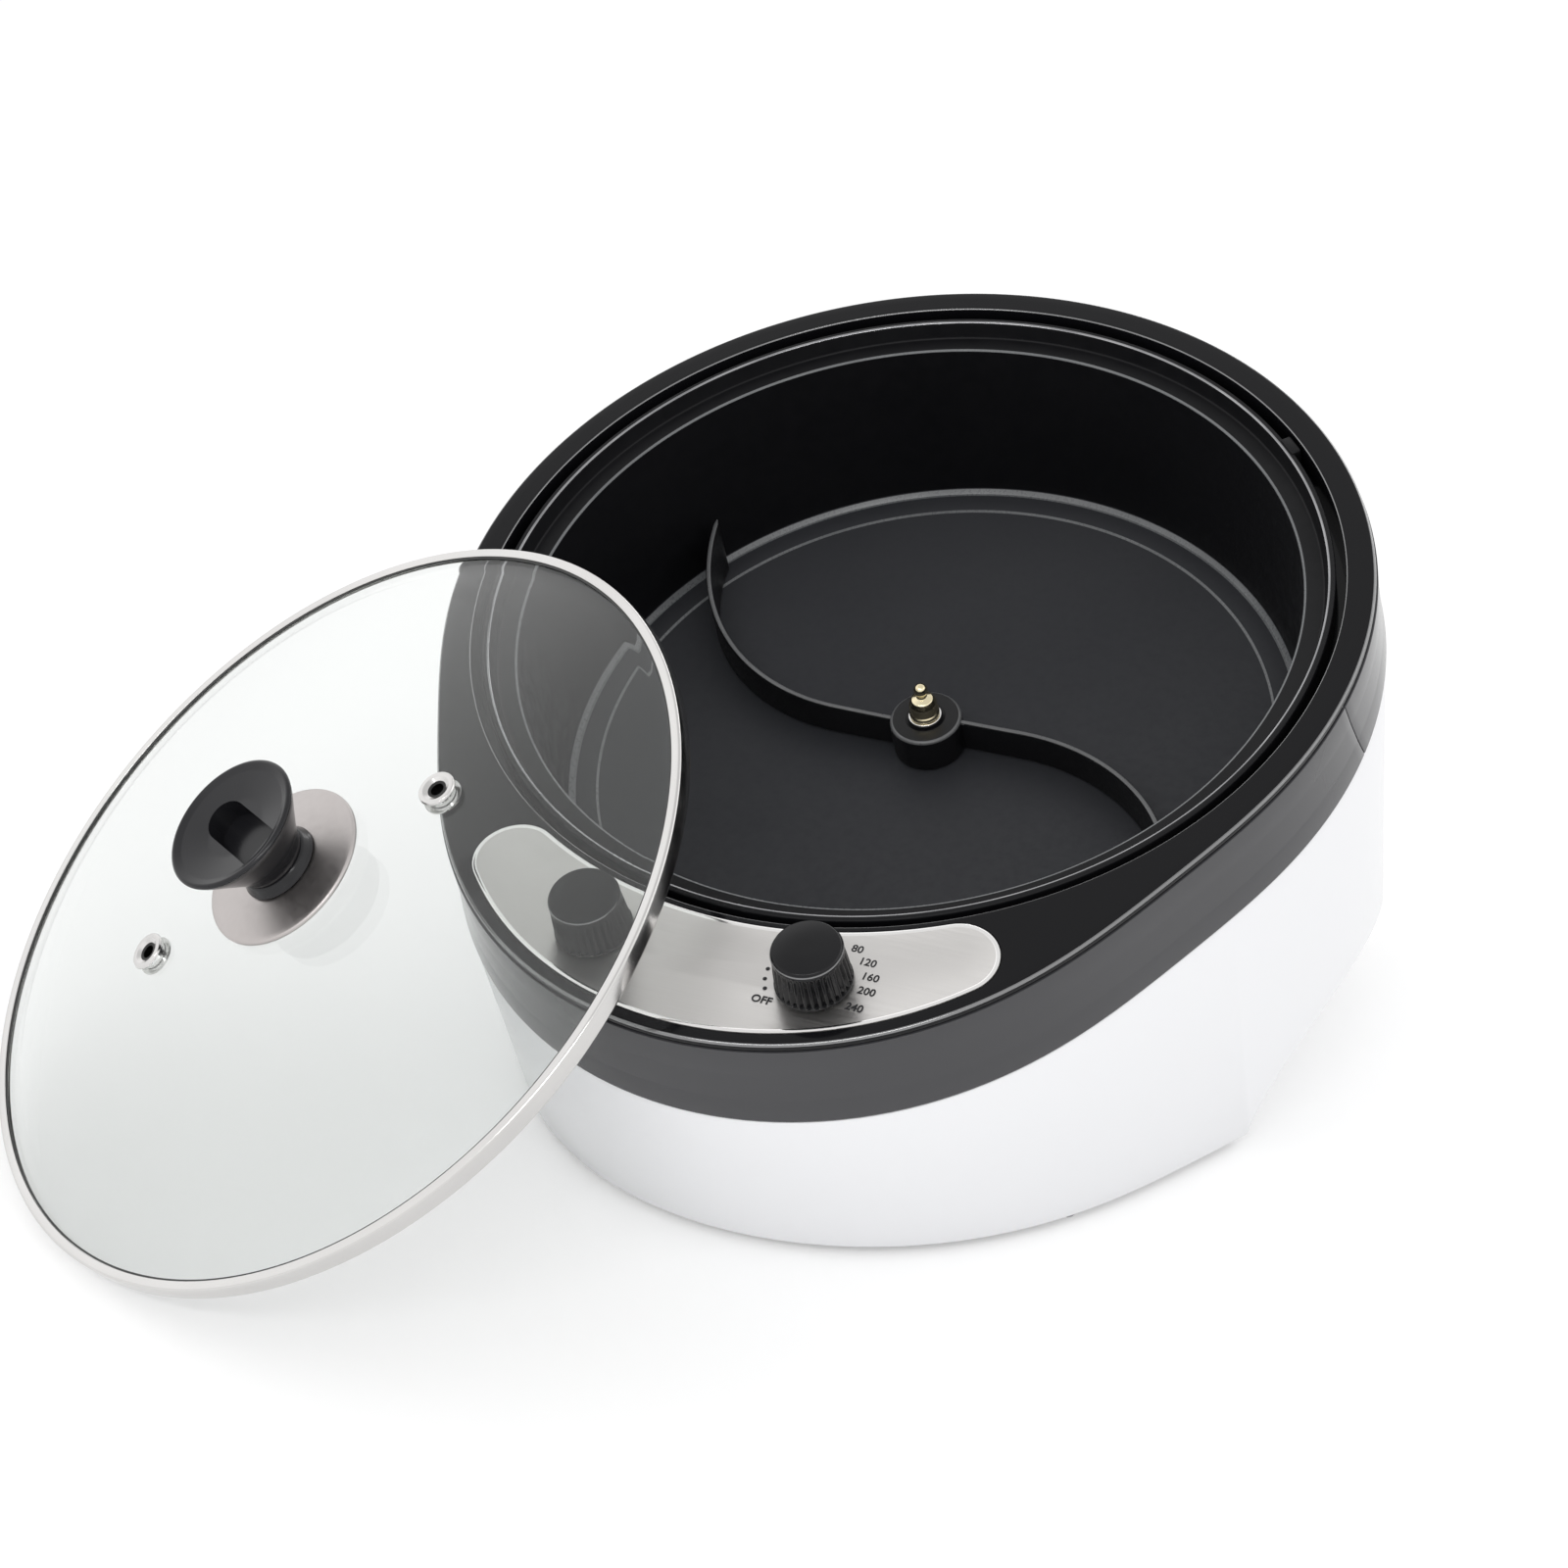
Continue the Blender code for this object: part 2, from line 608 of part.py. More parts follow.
def build_deck(frame):
    """Build the deck plate, its ledge for the bowl, the bands and the panel."""
    tongue = BAND_WALL + FIT
    rings = [
        outline_ring(-DECK_EDGE, 0.0),
        outline_ring(-DECK_EDGE * (1.0 - math.sqrt(0.5)), DECK_EDGE * (1.0 - math.sqrt(0.5))),
        outline_ring(0.0, DECK_EDGE),
        outline_ring(0.0, DECK_PLATE),
        outline_ring(-tongue, DECK_PLATE),
        outline_ring(-tongue, DECK_PLATE + TONGUE_DEPTH),
        outline_ring(-tongue - TONGUE_WALL, DECK_PLATE + TONGUE_DEPTH),
        outline_ring(-tongue - TONGUE_WALL, DECK_PLATE),
        round_ring(LEDGE_OUTER, DECK_PLATE),
        round_ring(LEDGE_OUTER, LEDGE_UNDERSIDE),
        round_ring(LEDGE_RADIUS, LEDGE_UNDERSIDE),
        round_ring(LEDGE_RADIUS, LEDGE_DEPTH),
        round_ring(DECK_HOLE_RADIUS, LEDGE_DEPTH),
        round_ring(DECK_HOLE_RADIUS, DECK_HOLE_EDGE),
        round_ring(DECK_HOLE_RADIUS + DECK_HOLE_EDGE, 0.0),
    ]
    deck = skin("deck_plate", rings, GLOSS_BLACK, wrap=True, parent=frame)
    seat = [panel_ring(FIT, -OVERRUN), panel_ring(FIT, PANEL_SEAT)]
    boolean(deck, skin("panel_seat", seat, None, parent=frame))
    panel_bottom = PANEL_SEAT - FIT
    rings = [panel_ring(0.0, panel_bottom - PANEL_WALL), panel_ring(0.0, panel_bottom)]
    panel = skin("control_panel", rings, STEEL, parent=frame)
    for side, label in ((-1.0, "left"), (1.0, "right")):
        place = Matrix.Translation(knob_spot(side))
        radius = SPINDLE_RADIUS + SPINDLE_HOLE
        bore(deck, "deck_bore_" + label, radius, -DECK_PLATE - OVERRUN, OVERRUN, frame, place)
        bore(panel, "panel_bore_" + label, radius, -DECK_PLATE - OVERRUN, OVERRUN, frame, place)


def parting_angle(depth):
    """Give the angle of the leaning joint between the bands."""
    drop = PARTING_TOP + (PARTING_BOTTOM - PARTING_TOP) * depth / BAND_DEPTH
    return math.acos(drop / REAR_RADIUS)


def band_profile():
    """Give the band's profile as offsets from the outline and depths."""
    top = DECK_PLATE + FIT
    outer = []
    for down_share, flare_share in BAND_FLARE_SHARES:
        depth = top + (BAND_DEPTH - top) * down_share
        outer.append((BAND_FLARE * flare_share, depth))
    inner = [(offset - BAND_WALL, depth) for offset, depth in outer]
    return outer + inner[::-1]


def build_bands(frame):
    """Build the front and the rear band."""
    half = FIT / (2.0 * REAR_RADIUS)
    for name, front in (("band_front", True), ("band_rear", False)):
        rings = []
        for index in range(OUTLINE_STEPS // 2 + 1):
            share = index / (OUTLINE_STEPS // 2)
            ring = []
            for offset, depth in band_profile():
                limit = parting_angle(depth)
                if front:
                    angle = (2.0 * share - 1.0) * (limit - half)
                else:
                    start = limit + half
                    angle = start + (math.tau - 2.0 * start) * share
                spot = outline_point(angle, offset)
                ring.append((spot.x, spot.y, -depth))
            rings.append(ring)
        skin(name, rings, GLOSS_BLACK, parent=frame)


def build_bowl(frame):
    """Build the bowl with its lid seat, lip and tab, and the bushing in its floor."""
    lower_radius = BOWL_RADIUS - BOWL_TAPER
    step_depth = BOWL_DEPTH - FLOOR_STEP
    lip_outer = LIP_RADIUS + LIP_HALF_WIDTH
    profile = [
        (BUSH_RADIUS + FIT, -BOWL_DEPTH),
        (FLOOR_RADIUS, -BOWL_DEPTH),
        (lower_radius - FLOOR_STEP, -step_depth),
        (lower_radius, -step_depth + FLOOR_STEP),
        (BOWL_RADIUS - SEAT_EDGE / 4.0, -SEAT_DEPTH - SEAT_EDGE),
        (BOWL_RADIUS + SEAT_EDGE, -SEAT_DEPTH),
        (BOWL_RADIUS + SEAT_WIDTH, -SEAT_DEPTH),
        (LIP_RADIUS - LIP_HALF_WIDTH, -LIP_DEPTH - LIP_HALF_WIDTH),
        (LIP_RADIUS - LIP_HALF_WIDTH / 2.0, -LIP_DEPTH),
        (LIP_RADIUS + LIP_HALF_WIDTH / 2.0, -LIP_DEPTH),
        (lip_outer, -LIP_DEPTH - LIP_HALF_WIDTH),
        (lip_outer, -FLANGE_DEPTH),
        (BOWL_RADIUS + BOWL_WALL, -FLANGE_DEPTH),
        (lower_radius + BOWL_WALL, -step_depth - BOWL_WALL / 2.0),
        (lower_radius, -step_depth - BOWL_WALL),
        (FLOOR_RADIUS, -BOWL_UNDERSIDE),
        (BUSH_RADIUS + FIT, -BOWL_UNDERSIDE),
    ]
    bowl = turned("bowl", profile, MATT_BLACK, parent=frame)
    turn = Matrix.Rotation(TAB_ANGLE - math.pi / 2.0, 4, "Z")
    tab = box(
        "bowl_tab",
        (LIP_RADIUS, -TAB_WIDTH / 2.0, -FLANGE_DEPTH),
        (DECK_HOLE_RADIUS - TAB_GAP, TAB_WIDTH / 2.0, -TAB_TOP),
        None,
        frame,
        turn,
    )
    boolean(bowl, tab, "UNION")
    profile = [
        (SHAFT_RADIUS + TURN_FIT, -BOWL_DEPTH),
        (BUSH_RADIUS, -BOWL_DEPTH),
        (BUSH_RADIUS, -BOWL_UNDERSIDE - FIT),
        (BUSH_FLANGE_RADIUS, -BOWL_UNDERSIDE - FIT),
        (BUSH_FLANGE_RADIUS, -BOWL_UNDERSIDE - FIT - BUSH_FLANGE_WALL),
        (SHAFT_RADIUS + TURN_FIT, -BOWL_UNDERSIDE - FIT - BUSH_FLANGE_WALL),
    ]
    turned("shaft_bushing", profile, BRASS, SMALL_STEPS, frame)


def arm_station(distance):
    """Give the left arm's middle line and its side direction at a distance along it."""
    if distance <= ARM_STRAIGHT:
        return Vector((-distance, ARM_START)), Vector((0.0, 1.0))
    angle = (distance - ARM_STRAIGHT) / ARM_CURVE_RADIUS
    side = Vector((math.sin(angle), math.cos(angle)))
    middle = Vector((-ARM_STRAIGHT, ARM_START + ARM_CURVE_RADIUS))
    return middle - ARM_CURVE_RADIUS * side, side


def build_stirrer(frame):
    """Build the stirrer's hub and arms, its washer, its nut and the shaft."""
    bottom = -BOWL_DEPTH + HUB_GAP
    profile = [
        (0.0, bottom),
        (HUB_RADIUS, bottom),
        (HUB_RADIUS, -HUB_TOP - HUB_EDGE),
        (HUB_RADIUS - HUB_EDGE, -HUB_TOP),
        (0.0, -HUB_TOP),
    ]
    stirrer = turned("stirrer", profile, MATT_BLACK, SMALL_STEPS, frame)
    start = HUB_RADIUS / 3.0
    length = ARM_STRAIGHT + ARM_CURVE_RADIUS * ARM_SWEEP
    for label, turn in (("left", 1.0), ("right", -1.0)):
        rings = []
        for index in range(ARM_STEPS + 1):
            share = index / ARM_STEPS
            spot, side = arm_station(start + (length - start) * share)
            low = -BOWL_DEPTH + ARM_GAP
            rise = (ARM_TIP_HEIGHT - ARM_ROOT_HEIGHT) * share ** ARM_RISE_POWER
            high = -BOWL_DEPTH + ARM_ROOT_HEIGHT + rise
            half = side * ARM_WALL / 2.0
            ring = []
            for edge, height in ((-half, low), (half, low), (half, high), (-half, high)):
                point = (spot + edge) * turn
                ring.append((point.x, point.y, height))
            rings.append(ring)
        boolean(stirrer, skin("arm_" + label, rings, None, parent=frame), "UNION")
    bore(stirrer, "hub_bore", SHAFT_RADIUS + FIT, -BOWL_DEPTH - OVERRUN, -HUB_TOP + OVERRUN,
         frame)
    profile = [
        (SHAFT_RADIUS + FIT, -HUB_TOP + FIT),
        (WASHER_RADIUS, -HUB_TOP + FIT),
        (WASHER_RADIUS, -WASHER_TOP),
        (SHAFT_RADIUS + FIT, -WASHER_TOP),
    ]
    turned("stirrer_washer", profile, STEEL, SMALL_STEPS, frame)
    foot = -WASHER_TOP + FIT
    top = -NUT_TOP
    shoulder = NUT_HEIGHT / 3.0
    neck = top + NUT_NECK_HEIGHT
    profile = [
        (0.0, foot + NUT_SOCKET),
        (SHAFT_RADIUS + FIT, foot + NUT_SOCKET),
        (SHAFT_RADIUS + FIT, foot),
        (NUT_RADIUS, foot),
        (NUT_RADIUS, top - shoulder),
        (NUT_RADIUS - shoulder / 3.0, top - shoulder / 2.0),
        (NUT_NECK_RADIUS, top),
        (NUT_NECK_RADIUS, neck),
    ]
    waist = math.asin(NUT_NECK_RADIUS / BALL_RADIUS)
    ball = neck + BALL_RADIUS * math.cos(waist)
    for index in range(1, BALL_STEPS):
        angle = waist + (math.pi - waist) * index / BALL_STEPS
        profile.append((BALL_RADIUS * math.sin(angle), ball - BALL_RADIUS * math.cos(angle)))
    profile.append((0.0, ball + BALL_RADIUS))
    turned("cap_nut", profile, BRASS, SMALL_STEPS, frame)
    shaft_top = foot + NUT_SOCKET - FIT
    shaft_bottom = -MOTOR_DEPTH - MOTOR_SEAT + FIT
    turned("drive_shaft", cylinder_profile(SHAFT_RADIUS, shaft_bottom, shaft_top), STEEL,
           SMALL_STEPS, frame)


def build_heater(frame):
    """Build the ring element, the shield under it and the thermal fuse."""
    rings = []
    for index in range(OUTLINE_STEPS // 2 + 1):
        angle = ELEMENT_SWEEP * (index / (OUTLINE_STEPS // 2) - 0.5)
        ring = []
        for step in range(END_STEPS):
            around = math.tau * step / END_STEPS
            reach = ELEMENT_RING_RADIUS + ELEMENT_RADIUS * math.cos(around)
            height = -ELEMENT_DEPTH + ELEMENT_RADIUS * math.sin(around)
            ring.append((reach * math.sin(angle), -reach * math.cos(angle), height))
        rings.append(ring)
    skin("heating_element", rings, DARK_STEEL, parent=frame)
    top = -BOWL_UNDERSIDE - FIT
    floor = -SHIELD_DEPTH
    profile = [
        (SHIELD_BORE, floor - SHIELD_WALL),
        (SHIELD_RADIUS, floor - SHIELD_WALL),
        (SHIELD_RADIUS, top),
        (SHIELD_RADIUS - SHIELD_WALL, top),
        (SHIELD_RADIUS - SHIELD_WALL, floor),
        (SHIELD_BORE, floor),
    ]
    turned("heat_shield", profile, STEEL, MIDDLE_STEPS, frame)
    turn = Matrix.Rotation(math.radians(90.0), 4, "Y")
    level = floor - SHIELD_WALL - FIT - FUSE_RADIUS
    place = Matrix.Translation((-FUSE_LENGTH / 2.0, FUSE_OFFSET, level)) @ turn
    turned("thermal_fuse", cylinder_profile(FUSE_RADIUS, 0.0, FUSE_LENGTH), CREAM,
           TINY_STEPS, frame, place)


def build_drive(frame):
    """Build the strap that hangs from the deck's ledge, the gear motor and its screws."""
    upper = -LEDGE_UNDERSIDE - FIT
    floor = -HANGER_DEPTH
    leg = BOWL_RADIUS + BOWL_WALL + HANGER_GAP
    half = HANGER_WIDTH / 2.0
    path = [
        (leg, upper - HANGER_WALL),
        (leg, floor),
        (-leg, floor),
        (-leg, upper - HANGER_WALL),
        (-leg - HANGER_FOOT, upper - HANGER_WALL),
        (-leg - HANGER_FOOT, upper),
        (-leg + HANGER_WALL, upper),
    ]
    inside = [(leg - HANGER_WALL, upper), (leg + HANGER_FOOT, upper),
              (leg + HANGER_FOOT, upper - HANGER_WALL)]
    outline = [
        inside[1],
        inside[0],
        (leg - HANGER_WALL, floor),
        (-leg + HANGER_WALL, floor),
        path[6],
        path[5],
        path[4],
        path[3],
        (-leg, floor - HANGER_WALL),
        (leg, floor - HANGER_WALL),
        path[0],
        inside[2],
    ]
    rings = [[(x, edge, z) for x, z in outline] for edge in (-half, half)]
    hanger = skin("motor_hanger", rings, STEEL, parent=frame)
    low = floor - HANGER_WALL - OVERRUN
    bore(hanger, "hanger_bore", HANGER_BORE, low, floor + OVERRUN, frame)
    top = -MOTOR_DEPTH
    bottom = top - MOTOR_HEIGHT
    profile = [
        (SHAFT_RADIUS + TURN_FIT, top),
        (MOTOR_EAR_RADIUS, top),
        (MOTOR_EAR_RADIUS, top - MOTOR_EAR_WALL),
        (MOTOR_RADIUS, top - MOTOR_EAR_WALL),
        (MOTOR_RADIUS, bottom + MOTOR_EDGE),
        (MOTOR_RADIUS - MOTOR_EDGE, bottom),
        (0.0, bottom),
        (0.0, top - MOTOR_SEAT),
        (SHAFT_RADIUS + TURN_FIT, top - MOTOR_SEAT),
    ]
    motor = turned("gear_motor", profile, DARK_STEEL, MIDDLE_STEPS, frame)
    head_top = top - MOTOR_EAR_WALL - FIT
    for index, side in enumerate((-1.0, 1.0)):
        place = Matrix.Translation((side * MOTOR_SCREW_OFFSET, 0.0, 0.0))
        radius = SCREW_RADIUS + FIT
        bore(hanger, "hanger_screw_bore_%d" % index, radius, low, floor + OVERRUN, frame, place)
        bore(motor, "motor_screw_bore_%d" % index, radius, head_top - OVERRUN, top + OVERRUN,
             frame, place)
        profile = [
            (0.0, head_top - SCREW_HEAD_HEIGHT),
            (SCREW_HEAD_RADIUS, head_top - SCREW_HEAD_HEIGHT),
            (SCREW_HEAD_RADIUS, head_top),
            (SCREW_RADIUS, head_top),
            (SCREW_RADIUS, head_top + MOTOR_SCREW_LENGTH),
            (0.0, head_top + MOTOR_SCREW_LENGTH),
        ]
        turned("motor_screw_%d" % (index + 1), profile, STEEL, TINY_STEPS, frame, place)


def knob_ring(radius, height, flute):
    """Give a ring of the control knob, with its flutes cut in by a depth."""
    ring = []
    count = KNOB_FLUTES * 2
    for index in range(count):
        angle = math.tau * index / count
        reach = radius - flute * (index % 2)
        ring.append((reach * math.cos(angle), reach * math.sin(angle), height))
    return ring


def build_control(frame, name, spindle_name, side):
    """Build one control knob with its spindle."""
    axis = make_frame(name + "_axis", Matrix.Translation(knob_spot(side)), frame)
    foot = PANEL_WALL - PANEL_SEAT + FIT + KNOB_FOOT_GAP
    skirt = foot + KNOB_SKIRT_HEIGHT
    shoulder = KNOB_HEIGHT - KNOB_SHOULDER
    rings = [
        knob_ring(KNOB_SKIRT_RADIUS, foot, 0.0),
        knob_ring(KNOB_SKIRT_RADIUS, skirt, 0.0),
        knob_ring(KNOB_RADIUS + KNOB_FLUTE, skirt + KNOB_SKIRT_HEIGHT, KNOB_FLUTE),
        knob_ring(KNOB_RADIUS, shoulder, KNOB_FLUTE),
        knob_ring(KNOB_TOP_RADIUS + KNOB_FLUTE / 2.0, KNOB_HEIGHT - KNOB_SHOULDER / 3.0, 0.0),
        knob_ring(KNOB_TOP_RADIUS - KNOB_SHOULDER, KNOB_HEIGHT, 0.0),
    ]
    knob = skin(name, rings, GLOSS_BLACK, parent=axis)
    bore(knob, name + "_socket", SPINDLE_RADIUS + FIT, foot - OVERRUN, KNOB_SOCKET, axis)
    profile = cylinder_profile(SPINDLE_RADIUS, -DECK_PLATE - SPINDLE_SEAT, KNOB_SOCKET - FIT)
    turned(spindle_name, profile, STEEL, SMALL_STEPS, axis)


def build_controls(frame):
    """Build both knobs, the thermostat and the stirring switch."""
    build_control(frame, "heat_knob", "heat_spindle", 1.0)
    build_control(frame, "stir_knob", "stir_spindle", -1.0)
    top = -DECK_PLATE - FIT
    seat = -DECK_PLATE - SPINDLE_SEAT - TURN_FIT
    half_length = THERMOSTAT_LENGTH / 2.0
    half_width = THERMOSTAT_WIDTH / 2.0
    place = Matrix.Translation(knob_spot(1.0))
    thermostat = box("thermostat", (-half_length, -half_width, top - THERMOSTAT_HEIGHT),
                     (half_length, half_width, top), CREAM, frame, place)
    bore(thermostat, "thermostat_bore", SPINDLE_RADIUS + TURN_FIT, seat, OVERRUN, frame, place)
    place = Matrix.Translation(knob_spot(-1.0))
    switch = turned("stir_switch", cylinder_profile(SWITCH_RADIUS, top - SWITCH_HEIGHT, top),
                    MATT_BLACK, SMALL_STEPS, frame, place)
    bore(switch, "switch_bore", SPINDLE_RADIUS + TURN_FIT, seat, OVERRUN, frame, place)


def build_wiring():
    """Build the terminal block on the base cover and the cord gland in the back wall."""
    bottom = COVER_TOP + FIT
    box("terminal_block",
        (BLOCK_X - BLOCK_LENGTH / 2.0, BLOCK_Y - BLOCK_WIDTH / 2.0, bottom),
        (BLOCK_X + BLOCK_LENGTH / 2.0, BLOCK_Y + BLOCK_WIDTH / 2.0, bottom + BLOCK_HEIGHT), CREAM)
    sag = GLAND_FLANGE_RADIUS ** 2 / REAR_RADIUS
    inner = -BODY_WALL - FIT - sag
    profile = [
        (0.0, inner - GLAND_FLANGE_WALL),
        (GLAND_FLANGE_RADIUS, inner - GLAND_FLANGE_WALL),
        (GLAND_FLANGE_RADIUS, inner),
        (GLAND_RADIUS, inner),
        (GLAND_RADIUS, FIT),
        (GLAND_FLANGE_RADIUS, FIT),
        (GLAND_FLANGE_RADIUS, FIT + GLAND_FLANGE_WALL / 2.0),
        (GLAND_RADIUS, FIT + GLAND_FLANGE_WALL),
        (0.0, FIT + GLAND_FLANGE_WALL),
    ]
    turned("cord_gland", profile, RUBBER, SMALL_STEPS, None, gland_matrix())


def dome_radius(reach, rise):
    """Give the sphere radius of a dome from its reach and rise."""
    return (reach ** 2 + rise ** 2) / (2.0 * rise)


def outer_dome():
    """Give the centre height and radius of the glass's outer sphere."""
    radius = dome_radius(DOME_RADIUS, GLASS_DOME - GLASS_TOP)
    return GLASS_DOME - radius, radius


def inner_dome():
    """Give the centre height and radius of the glass's inner sphere."""
    centre, radius = outer_dome()
    return centre, radius - GLASS_WALL


def dome_height(reach, dome):
    """Give the height of a sphere above the lid's rim plane."""
    centre, radius = dome
    return centre + math.sqrt(radius ** 2 - reach ** 2)


def lid_matrix():
    """Lean the lid: its low point on the floor, its underside on the left knob."""
    level = Vector((math.cos(LID_TURN), math.sin(LID_TURN), 0.0))
    across = Vector((-math.sin(LID_TURN), math.cos(LID_TURN), 0.0))
    knob_top = deck_matrix() @ (knob_spot(-1.0) + Vector((0.0, 0.0, KNOB_HEIGHT)))
    lean = math.asin(knob_top.z / (LID_RADIUS * LID_REST_SHARE))
    knob_foot = deck_matrix() @ knob_spot(-1.0)
    side = knob_foot.dot(across) - LID_RADIUS * LID_SIDE_SHARE
    normal = level * math.sin(lean) + Vector((0.0, 0.0, math.cos(lean)))
    height = FIT + LID_RADIUS * math.sin(lean) + RIM_HEIGHT * math.cos(lean)
    centre, radius = inner_dome()
    edge = []
    for index in range(KNOB_FLUTES * 2):
        angle = math.tau * index / (KNOB_FLUTES * 2)
        for reach, rise in ((KNOB_TOP_RADIUS + KNOB_FLUTE / 2.0, KNOB_HEIGHT - KNOB_SHOULDER / 3.0),
                            (KNOB_TOP_RADIUS - KNOB_SHOULDER, KNOB_HEIGHT),
                            (KNOB_RADIUS, KNOB_HEIGHT - KNOB_SHOULDER)):
            spot = knob_spot(-1.0)
            spot += Vector((reach * math.cos(angle), reach * math.sin(angle), rise))
            edge.append(deck_matrix() @ spot)
    out = LID_RADIUS
    for _ in range(SETTLE_ROUNDS):
        place = across * side + level * out + Vector((0.0, 0.0, height))
        middle = place + normal * centre
        gap = min(radius - (spot - middle).length for spot in edge)
        out += (LID_REST_GAP - gap) / math.sin(lean)
    place = across * side + level * out + Vector((0.0, 0.0, height))
    turn = Matrix((across, normal.cross(across), normal)).transposed().to_4x4()
    return Matrix.Translation(place) @ turn


def build_lid_glass(frame):
    """Build the domed glass with its steel rim and vent rings."""
    outer, inner = outer_dome(), inner_dome()
    edge = LID_RADIUS - RIM_WALL - FIT
    inner_reach = math.sqrt(inner[1] ** 2 - (GLASS_BOTTOM - inner[0]) ** 2)
    profile = [(edge, GLASS_BOTTOM), (edge, GLASS_TOP)]
    for index in range(DOME_STEPS + 1):
        reach = DOME_RADIUS + (GLASS_BORE - DOME_RADIUS) * index / DOME_STEPS
        profile.append((reach, dome_height(reach, outer)))
    for index in range(DOME_STEPS + 1):
        reach = GLASS_BORE + (inner_reach - GLASS_BORE) * index / DOME_STEPS
        profile.append((reach, dome_height(reach, inner)))
    glass = turned("lid_glass", profile, GLASS, parent=frame)
    low = -RIM_HEIGHT
    profile = [
        (LID_RADIUS - RIM_EDGE, low),
        (LID_RADIUS, low + RIM_EDGE),
        (LID_RADIUS, -RIM_EDGE),
        (LID_RADIUS - RIM_EDGE, 0.0),
        (LID_RADIUS - RIM_WIDTH + FIT, 0.0),
        (LID_RADIUS - RIM_WIDTH + FIT, -RIM_WALL),
        (LID_RADIUS - RIM_WALL, -RIM_WALL),
        (LID_RADIUS - RIM_WALL, low + RIM_WALL),
        (LID_RADIUS - RIM_WIDTH + FIT, low + RIM_WALL),
        (LID_RADIUS - RIM_WIDTH + FIT, low),
    ]
    turned("lid_rim", profile, STEEL, parent=frame)
    centre, radius = outer
    tilt = math.asin(VENT_PLACE_RADIUS / radius)
    for index, label in enumerate(("a", "b")):
        turn = Matrix.Rotation(VENT_TURN + math.pi * index, 4, "Z")
        lean = Matrix.Rotation(tilt, 4, "Y")
        lift = Matrix.Translation((0.0, 0.0, radius))
        place = Matrix.Translation((0.0, 0.0, centre)) @ turn @ lean @ lift
        bore(glass, "vent_hole_" + label, VENT_SLEEVE + FIT, -GLASS_WALL - OVERRUN, OVERRUN,
             frame, place)
        below = -GLASS_WALL - FIT * 2.0
        profile = [
            (VENT_BORE, below - VENT_RING_WALL),
            (VENT_RING_RADIUS, below - VENT_RING_WALL),
            (VENT_RING_RADIUS, below),
            (VENT_SLEEVE, below),
            (VENT_SLEEVE, FIT),
            (VENT_RING_RADIUS, FIT),
            (VENT_RING_RADIUS - VENT_RING_WALL / 2.0, FIT + VENT_RING_WALL),
            (VENT_BORE, FIT + VENT_RING_WALL),
        ]
        turned("vent_ring_" + label, profile, STEEL, SMALL_STEPS, frame, place)


def slot_ring(height):
    """Give the finger slot's outline, open towards the knob's rim."""
    reach = SLOT_START - SLOT_HALF_WIDTH
    ring = [(LID_KNOB_RADIUS + OVERRUN, SLOT_HALF_WIDTH, height)]
    for index in range(END_STEPS + 1):
        angle = math.pi / 2.0 + math.pi * index / END_STEPS
        ring.append((-reach + SLOT_HALF_WIDTH * math.cos(angle),
                     SLOT_HALF_WIDTH * math.sin(angle), height))
    ring.append((LID_KNOB_RADIUS + OVERRUN, -SLOT_HALF_WIDTH, height))
    return ring


